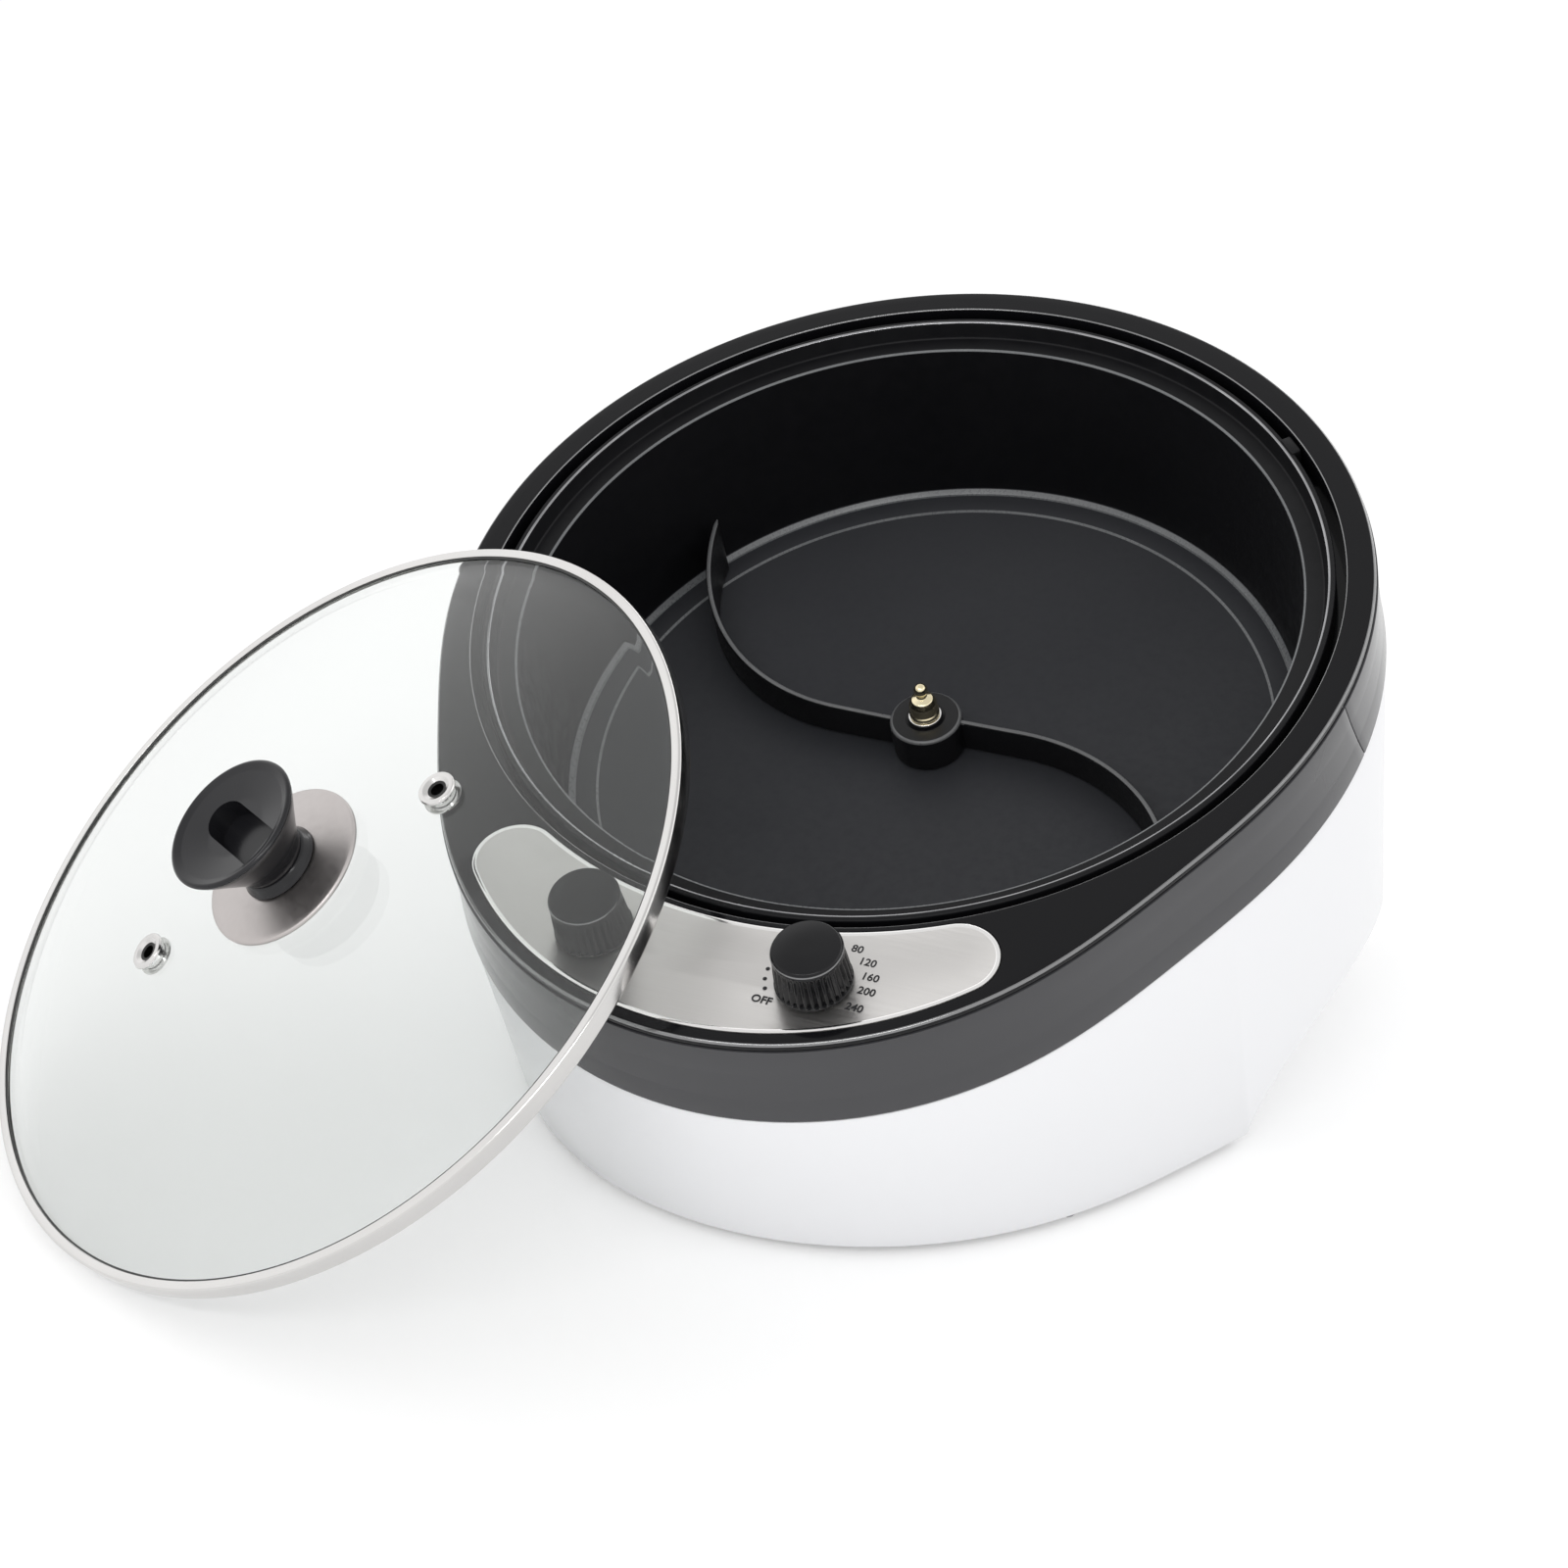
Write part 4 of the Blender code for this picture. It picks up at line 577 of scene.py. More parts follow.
@dataclass
class DeckPlan:
    """The deck's slope and outline, which the other sub-assemblies follow."""

    place: Matrix
    rear_radius: float = 0.1478
    nose_radius: float = 0.1147
    nose_offset: float = 0.0696
    blend: float = 0.009
    hole_radius: float = 0.1382
    plate: float = 0.0025
    panel_inner_gap: float = 0.0021
    panel_outer_gap: float = 0.0047
    panel_end: float = 0.013
    knob_spacing: float = 0.070
    steps: int = 240
    turn_step: float = 0.001
    panel_steps: int = 24

    @staticmethod
    def from_joint(joints: Sequence[dict[str, Any]], name: str) -> "DeckPlan":
        """Take the deck's place from the stirring arm's joint.

        Args:
            joints: Joints of the frame.
            name: Name of the joint.

        Returns:
            The plan.
        """
        joint = next(item for item in joints if item["name"] == name)
        normal = Vector(joint["axis"]).normalized()
        right = Vector((1.0, 0.0, 0.0))
        turn = Matrix((right, normal.cross(right), normal)).transposed().to_4x4()
        return DeckPlan(Matrix.Translation(joint["pos_m"]) @ turn)

    @property
    def panel_span(self) -> Spot:
        """Give the radii of the panel's inner and outer edge."""
        return self.hole_radius + self.panel_inner_gap, self.nose_radius - self.panel_outer_gap

    def reach(self, angle: float) -> float:
        """Give the outline's distance from the bowl's axis.

        Args:
            angle: Angle from the front.

        Returns:
            The distance, blended softly between the rear circle and the nose.
        """
        side = self.nose_offset * math.sin(angle)
        chord = math.sqrt(max(self.nose_radius ** 2 - side ** 2, 0.0))
        nose = self.nose_offset * math.cos(angle) + chord
        longest = max(nose, self.rear_radius)
        total = math.exp((nose - longest) / self.blend)
        total += math.exp((self.rear_radius - longest) / self.blend)
        return longest + self.blend * math.log(total)

    def spot(self, angle: float) -> Vector:
        """Give a point of the outline."""
        reach = self.reach(angle)
        return Vector((reach * math.sin(angle), -reach * math.cos(angle)))

    def point(self, angle: float, offset: float) -> Vector:
        """Give a point at an even distance outside the outline."""
        run = self.spot(angle + self.turn_step) - self.spot(angle - self.turn_step)
        return self.spot(angle) + offset * Vector((run.y, -run.x)).normalized()

    def angles(self) -> list[float]:
        """Give the angles of a ring's points."""
        return [math.tau * index / self.steps for index in range(self.steps)]

    def ring(self, offset: float, depth: float) -> list[Point]:
        """Give a ring along the outline at a depth under the deck's face."""
        spots = [self.point(angle, offset) for angle in self.angles()]
        return [(spot.x, spot.y, -depth) for spot in spots]

    def round(self, radius: float, depth: float) -> list[Point]:
        """Give a ring round the bowl's axis."""
        return [(radius * math.sin(a), -radius * math.cos(a), -depth) for a in self.angles()]

    def panel_outline(self, grow: float) -> list[Spot]:
        """Give the crescent panel's outline.

        Args:
            grow: Even distance outside the panel's edge.

        Returns:
            The outline's points.
        """
        steps = self.panel_steps
        inner, outer = self.panel_span
        far, near = inner + self.panel_end, outer - self.panel_end
        end_y = (near ** 2 - far ** 2 - self.nose_offset ** 2) / (2.0 * self.nose_offset)
        end = Vector((math.sqrt(far ** 2 - end_y ** 2), end_y))
        inner_angle = math.atan2(end.x, -end.y)
        outer_angle = math.atan2(end.x, -end.y - self.nose_offset)
        turn, round_end = inner_angle + math.pi, self.panel_end + grow
        bend = turn - outer_angle
        long, short = range(2 * steps + 1), range(1, steps)
        arcs = ((0.0, 0.0, inner - grow, [inner_angle * (i / steps - 1.0) for i in long]),
                (end.x, end.y, round_end, [turn - bend * i / steps for i in short]),
                (0.0, -self.nose_offset, outer + grow,
                 [outer_angle * (1.0 - i / steps) for i in long]),
                (-end.x, end.y, round_end, [-(outer_angle + bend * i / steps) for i in short]))
        return [(x + radius * math.sin(angle), y - radius * math.cos(angle))
                for x, y, radius, angles in arcs for angle in angles]

    def knob_spot(self, side: float) -> Vector:
        """Give a control knob's place on the deck.

        Args:
            side: Left at -1 and right at 1.

        Returns:
            The place, midway between the panel's edges.
        """
        across = side * self.knob_spacing / 2.0
        inner, outer = self.panel_span
        near = -math.sqrt(inner ** 2 - across ** 2)
        far = -self.nose_offset - math.sqrt(outer ** 2 - across ** 2)
        return Vector((across, (near + far) / 2.0, 0.0))


@dataclass
class Housing:
    """The white housing with its side recesses, base cover, feet and cord gland."""

    shop: Workshop
    plan: DeckPlan
    seam: float = 0.0333
    proud: float = 0.0015
    wall: float = 0.0026
    base: float = 0.003
    lean_start: float = math.radians(60.0)
    lean_end: float = math.radians(180.0)
    edge: float = 0.0008
    soft_shares: Spot = (0.3, 0.25)
    overrun: float = 0.004
    sharp: float = 24.0
    recess_middle: float = 0.051
    recess_half: float = 0.070
    recess_height: float = 0.051
    recess_floor: float = 0.118
    recess_outside: float = 0.156
    recess_steps: int = 96
    gland_level: float = 0.026
    gland_hole: float = 0.0063
    gland_ends: Spot = (-0.007, 0.007)
    gland_steps: int = 48
    pad_edge: float = 0.0006
    pad_seam: float = 0.0003
    pad_steps: int = 40

    def wall_point(self, angle: float, offset: float, level: float | None = None,
                   depth: float | None = None) -> Vector:
        """Give a point of the leaning wall.

        Args:
            angle: Angle from the front.
            offset: Distance outside the deck's outline.
            level: Height above the floor, if that is asked.
            depth: Depth under the deck, if that is asked.

        Returns:
            The point in the row frame.
        """
        spot = self.plan.point(angle, offset)
        start = self.plan.place @ Vector((spot.x, spot.y, -self.seam))
        inward = self.plan.place.to_3x3() @ Vector((0.0, 0.0, -1.0))
        fold = min(angle, math.tau - angle)
        share = (fold - self.lean_start) / (self.lean_end - self.lean_start)
        share = min(max(share, 0.0), 1.0)
        mix = share * share * (3.0 - 2.0 * share)
        run = inward.lerp(Vector((0.0, 0.0, -1.0)), mix).normalized()
        if level is not None:
            return start + run * ((start.z - level) / -run.z)
        return start + run * ((depth - self.seam) / run.dot(inward))

    def ring(self, offset: float, level: float | None = None,
             depth: float | None = None) -> list[Point]:
        """Give a ring of the wall at a height or a depth."""
        angles = self.plan.angles()
        return [tuple(self.wall_point(a, offset, level, depth)) for a in angles]

    def recess_cutter(self, side: float, grow: float) -> bpy.types.Object:
        """Make the cutter of a side recess.

        Args:
            side: Left at -1 and right at 1.
            grow: Distance by which it is enlarged.

        Returns:
            The cutter.
        """
        half, height = self.recess_half + grow, self.recess_height + grow
        rings = []
        for reach in (self.recess_floor - grow, self.recess_outside):
            ring = []
            for index in range(self.recess_steps):
                angle = math.tau * index / self.recess_steps
                ring.append((side * reach, self.recess_middle + half * math.cos(angle),
                             height * math.sin(angle)))
            rings.append(ring)
        return self.shop.loose("recess_cutter", Shape.skin(rings))

    def build(self) -> None:
        """Build and dress the housing's pieces."""
        self._build_shell()
        self.shop.dress("base_cover", COVER_BLACK)
        self._build_feet()
        for number in range(1, 5):
            self.shop.dress("base_screw_%d" % number, CASE_STEEL)
        self.shop.dress("cord_gland", RUBBER)

    def _build_shell(self) -> None:
        """Build the shell: wall with soft edges, cavity, recesses and the gland's hole."""
        edge, proud, seam, base = self.edge, self.proud, self.seam, self.base
        back, rise = (share * edge for share in self.soft_shares)
        outer = Shape.skin([
            self.ring(proud - edge, depth=seam), self.ring(proud - back, depth=seam + rise),
            self.ring(proud, depth=seam + edge), self.ring(proud, level=base + edge),
            self.ring(proud - back, level=base + rise), self.ring(proud - edge, level=base)])
        inner = Shape.skin([self.ring(proud - self.wall, depth=seam - self.overrun),
                            self.ring(proud - self.wall, level=base - self.overrun)])
        for bm in (outer, inner):
            bmesh.ops.triangulate(bm, faces=[face for face in bm.faces if len(face.verts) == 4])
        shell = self.shop.loose("white_shell", outer)
        cavity = self.shop.loose("cavity", inner)
        for side in (-1.0, 1.0):
            self.shop.cut(cavity, self.recess_cutter(side, self.wall))
        self.shop.cut(shell, cavity)
        for side in (-1.0, 1.0):
            self.shop.cut(shell, self.recess_cutter(side, 0.0))
        gland = self.wall_point(math.pi, proud, level=self.gland_level)
        place = Matrix.Translation(gland) @ Matrix.Rotation(math.radians(-90.0), 4, "X")
        self.shop.drill(shell, place, self.gland_hole, self.gland_ends, steps=self.gland_steps)
        shell.data.shade_smooth()
        self.shop.coat(shell, HOUSING_WHITE, self.sharp)
        self.shop.settle(shell, Body.HOUSING, "white_housing", ["body_shell"])

    def _build_feet(self) -> None:
        """Build the five round pads."""
        for number in range(1, 6):
            node = "foot_%d" % number
            low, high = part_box(node)
            middle = (low + high) / 2.0
            radius = (high.x - low.x) / 2.0
            corners = [(0, 0, 0), (radius, 0, self.pad_edge), (radius, high.z, self.pad_seam),
                       (0, high.z, 0)]
            place = Matrix.Translation((middle.x, middle.y, 0.0))
            self.shop.piece("pad_%d" % number, Shape.turned(corners, self.pad_steps), RUBBER,
                            Body.HOUSING, "rubber", place, [node])


@dataclass
class Deck:
    """The glossy deck plate, the bands under its edge and the crescent panel."""

    shop: Workshop
    plan: DeckPlan
    edge: float = 0.0022
    inset: float = 0.0005
    hair: float = 0.0001
    top_width: float = 0.0045
    sharp: float = 24.0
    fit: float = 0.0003
    tongue_drop: float = 0.006
    tongue_wall: float = 0.002
    ledge_depth: float = 0.0096
    ledge_wall: float = 0.0024
    ledge_radius: float = 0.1295
    ledge_edge: float = 0.0003
    mouth_edge: float = 0.0006
    mouth_width: float = 0.0015
    pocket_ends: Spot = (0.004, -0.0012)
    spindle_hole: float = 0.0042
    spindle_ends: Spot = (0.004, -0.006)
    line: float = 0.0015
    line_top: float = 0.00003
    line_mouth: float = 0.0007
    mouth_slopes: Spot = (0.15, 0.97)
    edge_slopes: Spot = (0.30, 0.94)
    band_depth: float = 0.033
    band_wall: float = 0.0025
    band_soft: float = 0.0005
    band_inset: float = 0.00035
    band_face: float = -0.001
    band_sharp: float = 40.0
    band_shares: tuple[Spot, ...] = ((0.0, 0.0), (0.35, 0.12), (0.7, 0.45), (1.0, 1.0))
    band_rounds: tuple[float, ...] = (0.0002, 0.02, 0.02, 0.0007)
    soft_share: float = 0.3
    flare: float = 0.0018
    parting: Spot = (0.0133, 0.0024)
    panel_top: float = 0.0003
    panel_under: float = -0.0009
    panel_edge: float = 0.0005
    panel_shares: tuple[Spot, ...] = ((0.0, 1.0), (0.3, 0.3), (1.0, 0.0), (2.4, 0.0))
    panel_rim: float = 0.0014
    panel_dip: float = 0.00012
    panel_skin: float = 0.00008
    panel_sharp: float = 40.0
    mark_size: float = 0.0036
    mark_relief: float = 0.00003
    mark_bold: float = 0.00007
    mark_lift: float = 0.00023
    figures: tuple[str, ...] = ("80", "120", "160", "200", "240")
    figure_reach: float = 0.0158
    figure_rise: float = 0.0005
    figure_runs: tuple[Spot, ...] = ((7.3, 13.7), (11.4, 9.5), (13.9, 4.9), (13.9, 0.2),
                                     (12.0, -5.0))
    off_place: Spot = (-0.0122, -0.0101)
    dot_places: tuple[Spot, ...] = ((-0.0149, 0.0008), (-0.0143, -0.0028), (-0.0129, -0.0060))
    dot_radius: float = 0.00065
    dot_tall: float = 0.00006
    dot_edge: float = 0.00002
    dot_lift: float = 0.0002
    dot_steps: int = 20

    def build(self) -> None:
        """Build the deck, the bands, the panel and the dial's marks."""
        self._build_plate()
        self._build_band("front_band", "band_front", True)
        self._build_band("rear_band", "band_rear", False)
        self._build_panel()
        self._build_marks()

    def _drill(self, thing: bpy.types.Object) -> None:
        """Drill both spindles' holes.

        Args:
            thing: The plate or the panel.
        """
        for spot in (self.plan.knob_spot(-1.0), self.plan.knob_spot(1.0)):
            self.shop.drill(thing, self.plan.place, self.spindle_hole, self.spindle_ends,
                            (spot.x, spot.y))

    def _build_plate(self) -> None:
        """Build the plate with its ledge for the bowl."""
        plan, tongue = self.plan, self.band_wall + self.fit
        foot = plan.plate + self.tongue_drop
        edge = Shape.rounded([(-self.top_width, 0, 0), (-self.inset, 0, self.edge),
                              (-self.inset, plan.plate, self.hair), (-tongue, plan.plate, 0)],
                             closed=False)
        edge += [(-tongue, foot), (-tongue - self.tongue_wall, foot),
                 (-tongue - self.tongue_wall, plan.plate)]
        rings = [plan.ring(offset, depth) for offset, depth in edge]
        mouth, under = plan.hole_radius, self.ledge_depth + self.ledge_wall
        hole = Shape.rounded([
            (mouth + self.ledge_wall, plan.plate, 0), (mouth + self.ledge_wall, under, 0),
            (self.ledge_radius, under, 0), (self.ledge_radius, self.ledge_depth, self.ledge_edge),
            (mouth, self.ledge_depth, 0), (mouth, 0, self.mouth_edge),
            (mouth + self.mouth_width, 0, 0)], closed=False)
        rings += [plan.round(radius, depth) for radius, depth in hole]
        plate = self.shop.loose("gloss_deck", Shape.skin(rings, wrap=True), plan.place)
        outline = plan.panel_outline(self.fit)
        pocket = Shape.skin([[(x, y, z) for x, y in outline] for z in self.pocket_ends])
        self.shop.cut(plate, self.shop.loose("pocket", pocket, plan.place))
        self._drill(plate)
        self.shop.coat(plate, DECK_BLACK, self.sharp)
        # Painted highlight lines on the rounded edges of the plate and of its mouth.
        self.shop.line(plate, DECK_HIGHLIGHT, self._on_highlight_edge)
        self.shop.settle(plate, Body.HOUSING, "gloss_black", ["deck_plate"])

    def _on_highlight_edge(self, centre: Vector, normal: Vector) -> bool:
        """Tell whether a face of the plate lies on a rounded upper edge, painted as a highlight
        line.

        Args:
            centre: The face's centre.
            normal: The face's normal.

        Returns:
            Whether it does.
        """
        if not -self.line < centre.z < -self.line_top:
            return False
        reach = math.hypot(centre.x, centre.y)
        if reach < self.plan.hole_radius + self.line_mouth:
            return self.mouth_slopes[0] < normal.z < self.mouth_slopes[1]
        outline = self.plan.reach(math.atan2(centre.x, -centre.y))
        on_slope = self.edge_slopes[0] < normal.z < self.edge_slopes[1]
        return outline - reach < self.line and on_slope

    def _parting_angle(self, depth: float) -> float:
        """Give the angle of the leaning joint between the bands.

        Args:
            depth: Depth under the deck.

        Returns:
            The angle from the front.
        """
        share = depth / self.band_depth
        drop = self.parting[0] + (self.parting[1] - self.parting[0]) * share
        return math.acos(drop / self.plan.rear_radius)

    def _band_profile(self) -> list[Spot]:
        """Give the band's section.

        Returns:
            Its outline as offsets and depths.
        """
        top = self.plan.plate + self.fit
        drop = self.band_depth - top
        corners: list[Corner] = []
        for (down, out), radius in zip(self.band_shares, self.band_rounds):
            corners.append((self.flare * out, top + drop * down, radius))
        for down, out in self.band_shares[::-1]:
            corners.append((self.flare * out - self.band_wall, top + drop * down, 0.0))
        return Shape.rounded(corners)

    def _build_band(self, name: str, node: str, front: bool) -> None:
        """Build one band with slightly rounded ends.

        Args:
            name: Name of the piece.
            node: Node that it stands for.
            front: Whether it is the front band.
        """
        profile = self._band_profile()
        half = 0.5 * self.fit / self.plan.rear_radius
        soft, inset = self.band_soft / self.plan.rear_radius, self.band_inset
        ends = [(0.0, inset), (self.soft_share * soft, self.soft_share * inset), (soft, 0.0)]
        middle = self.plan.steps // 2
        stations = [(0.0, shift, shrink) for shift, shrink in ends]
        stations += [(index / middle, 0.0, 0.0) for index in range(1, middle)]
        stations += [(1.0, -shift, shrink) for shift, shrink in ends[::-1]]
        rings = []
        for share, shift, shrink in stations:
            ring = []
            for offset, depth in profile:
                limit = self._parting_angle(depth)
                if front:
                    angle = (2.0 * share - 1.0) * (limit - half) + shift
                else:
                    start = limit + half
                    angle = start + (math.tau - 2.0 * start) * share + shift
                spot = self.plan.point(angle, offset - shrink * (offset > self.band_face))
                ring.append((spot.x, spot.y, -depth))
            rings.append(ring)
        # The bands take the grey with the painted reflection.
        self.shop.piece(name, Shape.skin(rings), BAND_REFLECTION_GREY, Body.HOUSING, "gloss_black",
                        self.plan.place, [node], self.band_sharp)

    def _build_panel(self) -> None:
        """Build the brushed panel with its bright rim and the knobs' holes."""
        top, edge = self.panel_top, self.panel_edge
        section = [(0.0, self.panel_under)]
        section += [(-run * edge, top - drop * edge) for run, drop in self.panel_shares]
        section.append((-self.panel_rim, top - self.panel_dip))
        rings = [[(x, y, z) for x, y in self.plan.panel_outline(grow)] for grow, z in section]
        panel = self.shop.loose("steel_panel", Shape.skin(rings), self.plan.place)
        self._drill(panel)
        self.shop.coat(panel, BRUSHED_STEEL, self.panel_sharp)
        panel.data.materials.append(BRIGHT_STEEL.build())
        for face in panel.data.polygons:
            if face.center.z > top - self.panel_skin and len(face.vertices) == 4:
                face.material_index = 1
        self.shop.settle(panel, Body.HOUSING, "panel_steel", ["control_panel"])

    def _mark(self, name: str, text: str, spot: Spot) -> None:
        """Print one figure or word flat on the panel.

        Args:
            name: Name of the piece.
            text: The figure or word.
            spot: Its middle on the deck.
        """
        curve = bpy.data.curves.new(name, "FONT")
        curve.body = text
        curve.size = self.mark_size
        curve.align_x = "CENTER"
        curve.align_y = "CENTER"
        curve.extrude = self.mark_relief
        curve.offset = self.mark_bold
        curve.resolution_u = 3
        thing = bpy.data.objects.new(name, curve)
        bpy.context.scene.collection.objects.link(thing)
        thing.matrix_world = self.plan.place @ Matrix.Translation((*spot, self.mark_lift))
        curve.materials.append(MARK_INK.build())
        self.shop.settle(thing, Body.HOUSING, "matte_black")

    def _build_marks(self) -> None:
        """Print the dial's figures, its dots and the off mark."""
        knob = self.plan.knob_spot(1.0)
        for index, (across, along) in enumerate(self.figure_runs):
            reach = self.figure_reach / math.hypot(across, along)
            spot = (knob.x + across * reach, knob.y + self.figure_rise + along * reach)
            self._mark("dial_figure_%d" % index, self.figures[index], spot)
        self._mark("dial_off", "OFF", (knob.x + self.off_place[0], knob.y + self.off_place[1]))
        corners = [(0, 0, 0), (self.dot_radius, 0, 0),
                   (self.dot_radius, self.dot_tall, self.dot_edge), (0, self.dot_tall, 0)]
        for index, (across, along) in enumerate(self.dot_places):
            place = Matrix.Translation((knob.x + across, knob.y + along, self.dot_lift))
            self.shop.piece("dial_dot_%d" % index, Shape.turned(corners, self.dot_steps),
                            MARK_INK, Body.HOUSING, "matte_black", self.plan.place @ place)


@dataclass
class Bowl:
    """The coated bowl with its lid seat, lip and tab, and the bushing in its floor."""

    shop: Workshop
    plan: DeckPlan
    radius: float = 0.125
    wall: float = 0.0018
    taper: float = 0.0024
    depth: float = 0.0715
    seat_depth: float = 0.0073
    seat_width: float = 0.0065
    lip_radius: float = 0.1338
    lip_depth: float = 0.0013
    lip_half: float = 0.0012
    flange: float = 0.0093
    floor_radius: float = 0.1136
    floor_step: float = 0.0013
    bead: float = 0.0008
    bore: float = 0.0063
    foot_run: float = 0.0016
    foot_edge: float = 0.0004
    foot_round: float = 0.001
    seat_round: float = 0.0008
    lip_round: float = 0.0009
    hem_round: float = 0.0002
    belly_drop: float = 0.0006
    belly_round: float = 0.002
    bead_share: float = 0.6
    deep_share: float = 0.6
    floor_slope: float = 0.5
    line_slope: float = 0.1
    line_half: float = 0.0007
    line_drop: float = 0.0006
    lip_line: float = 0.0008
    skin: float = 0.0005
    sharp: float = 50.0
    steps: int = 256
    tab_angle: float = math.radians(133.6)
    tab_half: float = 0.004
    tab_foot: float = 0.001
    tab_gap: float = 0.0009
    tab_round: float = 0.0007
    bushing_bore: float = 0.0034
    bushing_neck: float = 0.006
    bushing_flange: float = 0.010
    bushing_tall: float = 0.002
    bushing_rounds: Corner = (0.0003, 0.0004, 0.0005)
    bushing_steps: int = 64
    fit: float = 0.0003

    @property
    def low(self) -> float:
        """Give the wall's inner radius at its foot."""
        return self.radius - self.taper

    def build(self) -> None:
        """Build the bowl, its tab and its bushing."""
        low, step, foot = self.low, self.depth - self.floor_step, self.foot_run
        lip_in, lip_out = self.lip_radius - self.lip_half, self.lip_radius + self.lip_half
        bead, under = self.bead, self.depth + self.wall
        corners = [
            (self.bore, -self.depth, 0), (self.floor_radius - bead, -self.depth, 0),
            (self.floor_radius, -self.depth + self.bead_share * bead, 0),
            (low - foot - bead, -step, 0), (low - foot, -step, self.foot_edge),
            (low, -step + foot, self.foot_round), (self.radius, -self.seat_depth, self.seat_round),
            (self.radius + self.seat_width, -self.seat_depth, self.seat_round),
            (lip_in, -self.lip_depth, self.lip_round), (lip_out, -self.lip_depth, self.lip_round),
            (lip_out, -self.flange, self.hem_round),
            (self.radius + self.wall, -self.flange, self.foot_round),
            (low + self.wall, -step - self.belly_drop, self.belly_round),
            (low, -step - self.wall, self.belly_round),
            (self.floor_radius, -under, 0), (self.bore, -under, 0)]
        bowl = self.shop.loose("coated_bowl", Shape.turned(corners, self.steps),
                               self.plan.place, self.sharp)
        # Painted light: the wall takes the shaded copy of the coating and the floor takes the lit
        # copy.
        bowl.data.materials.append(BOWL_COAT_SHADED.build())
        self.shop.line(bowl, BOWL_COAT_LIT, self._on_floor)
        # Painted highlight lines on the floor's beads and the seat's edge.
        self.shop.line(bowl, COAT_HIGHLIGHT, self._on_floor_line)
        # Painted highlight line on the lip's inner rounding.
        self.shop.line(bowl, LIP_HIGHLIGHT, self._on_lip_highlight)
        self.shop.settle(bowl, Body.HOUSING, "bowl_coating", ["bowl"])
        self._build_tab()
        self._build_bushing()

    def _on_floor(self, centre: Vector, normal: Vector) -> bool:
        """Tell whether a face lies on the floor or in the rounding round it, which are painted
        lighter as lit.

        Args:
            centre: The face's centre.
            normal: The face's normal.

        Returns:
            Whether it does.
        """
        reach = math.hypot(centre.x, centre.y)
        above = centre.z > -self.depth - self.skin
        return normal.z > self.floor_slope and reach < self.low and above

    def _on_floor_line(self, centre: Vector, normal: Vector) -> bool:
        """Tell whether a face lies on a bead of the floor or on the wall's upper edge, painted as a
        highlight line.

        Args:
            centre: The face's centre.
            normal: The face's normal.

        Returns:
            Whether it does.
        """
        reach = math.hypot(centre.x, centre.y)
        if normal.z < self.line_slope:
            return False
        on_bead = self.floor_radius - self.bead < reach < self.floor_radius
        on_foot = self.low - self.foot_run - self.bead < reach < self.low - self.foot_edge
        on_seat = abs(reach - self.radius) < self.line_half
        on_seat = on_seat and centre.z > -self.seat_depth - self.line_drop
        return on_seat or (centre.z < -self.deep_share * self.depth and (on_bead or on_foot))

    def _on_lip_highlight(self, centre: Vector, normal: Vector) -> bool:
        """Tell whether a face lies on the inner rounding of the lip, painted as a bright metal
        highlight line.

        Args:
            centre: The face's centre.
            normal: The face's normal, which doesn't matter here.

        Returns:
            Whether it does.
        """
        reach = math.hypot(centre.x, centre.y)
        inner = self.lip_radius - self.lip_half
        return inner < reach < inner + self.lip_line and centre.z > -self.lip_depth - self.line_half

    def _build_tab(self) -> None:
        """Build the small tab on the lip."""
        bm = bmesh.new()
        bmesh.ops.create_cube(bm, size=1.0)
        low = (self.lip_radius, -self.tab_half, -self.flange + self.tab_foot)
        high = (self.plan.hole_radius - self.tab_gap, self.tab_half, -self.tab_round)
        for vertex in bm.verts:
            for axis in range(3):
                vertex.co[axis] = high[axis] if vertex.co[axis] > 0.0 else low[axis]
        bmesh.ops.bevel(bm, geom=bm.edges[:], offset=self.tab_round, segments=3, profile=0.5,
                        affect="EDGES")
        turn = Matrix.Rotation(self.tab_angle - math.pi / 2.0, 4, "Z")
        self.shop.piece("lip_tab", bm, BOWL_COAT_SHADED, Body.HOUSING, "bowl_coating",
                        self.plan.place @ turn)

    def _build_bushing(self) -> None:
        """Build the brass bushing that the shaft turns in."""
        top = -self.depth - self.wall - self.fit
        bottom = top - self.bushing_tall
        fine, soft, full = self.bushing_rounds
        bore, neck, flange = self.bushing_bore, self.bushing_neck, self.bushing_flange
        corners = [(bore, -self.depth, soft), (neck, -self.depth, fine), (neck, top, 0),
                   (flange, top, fine), (flange, bottom, full), (bore, bottom, fine)]
        self.shop.piece("floor_bushing", Shape.turned(corners, self.bushing_steps), NUT_BRASS,
                        Body.HOUSING, "brass", self.plan.place, ["shaft_bushing"])


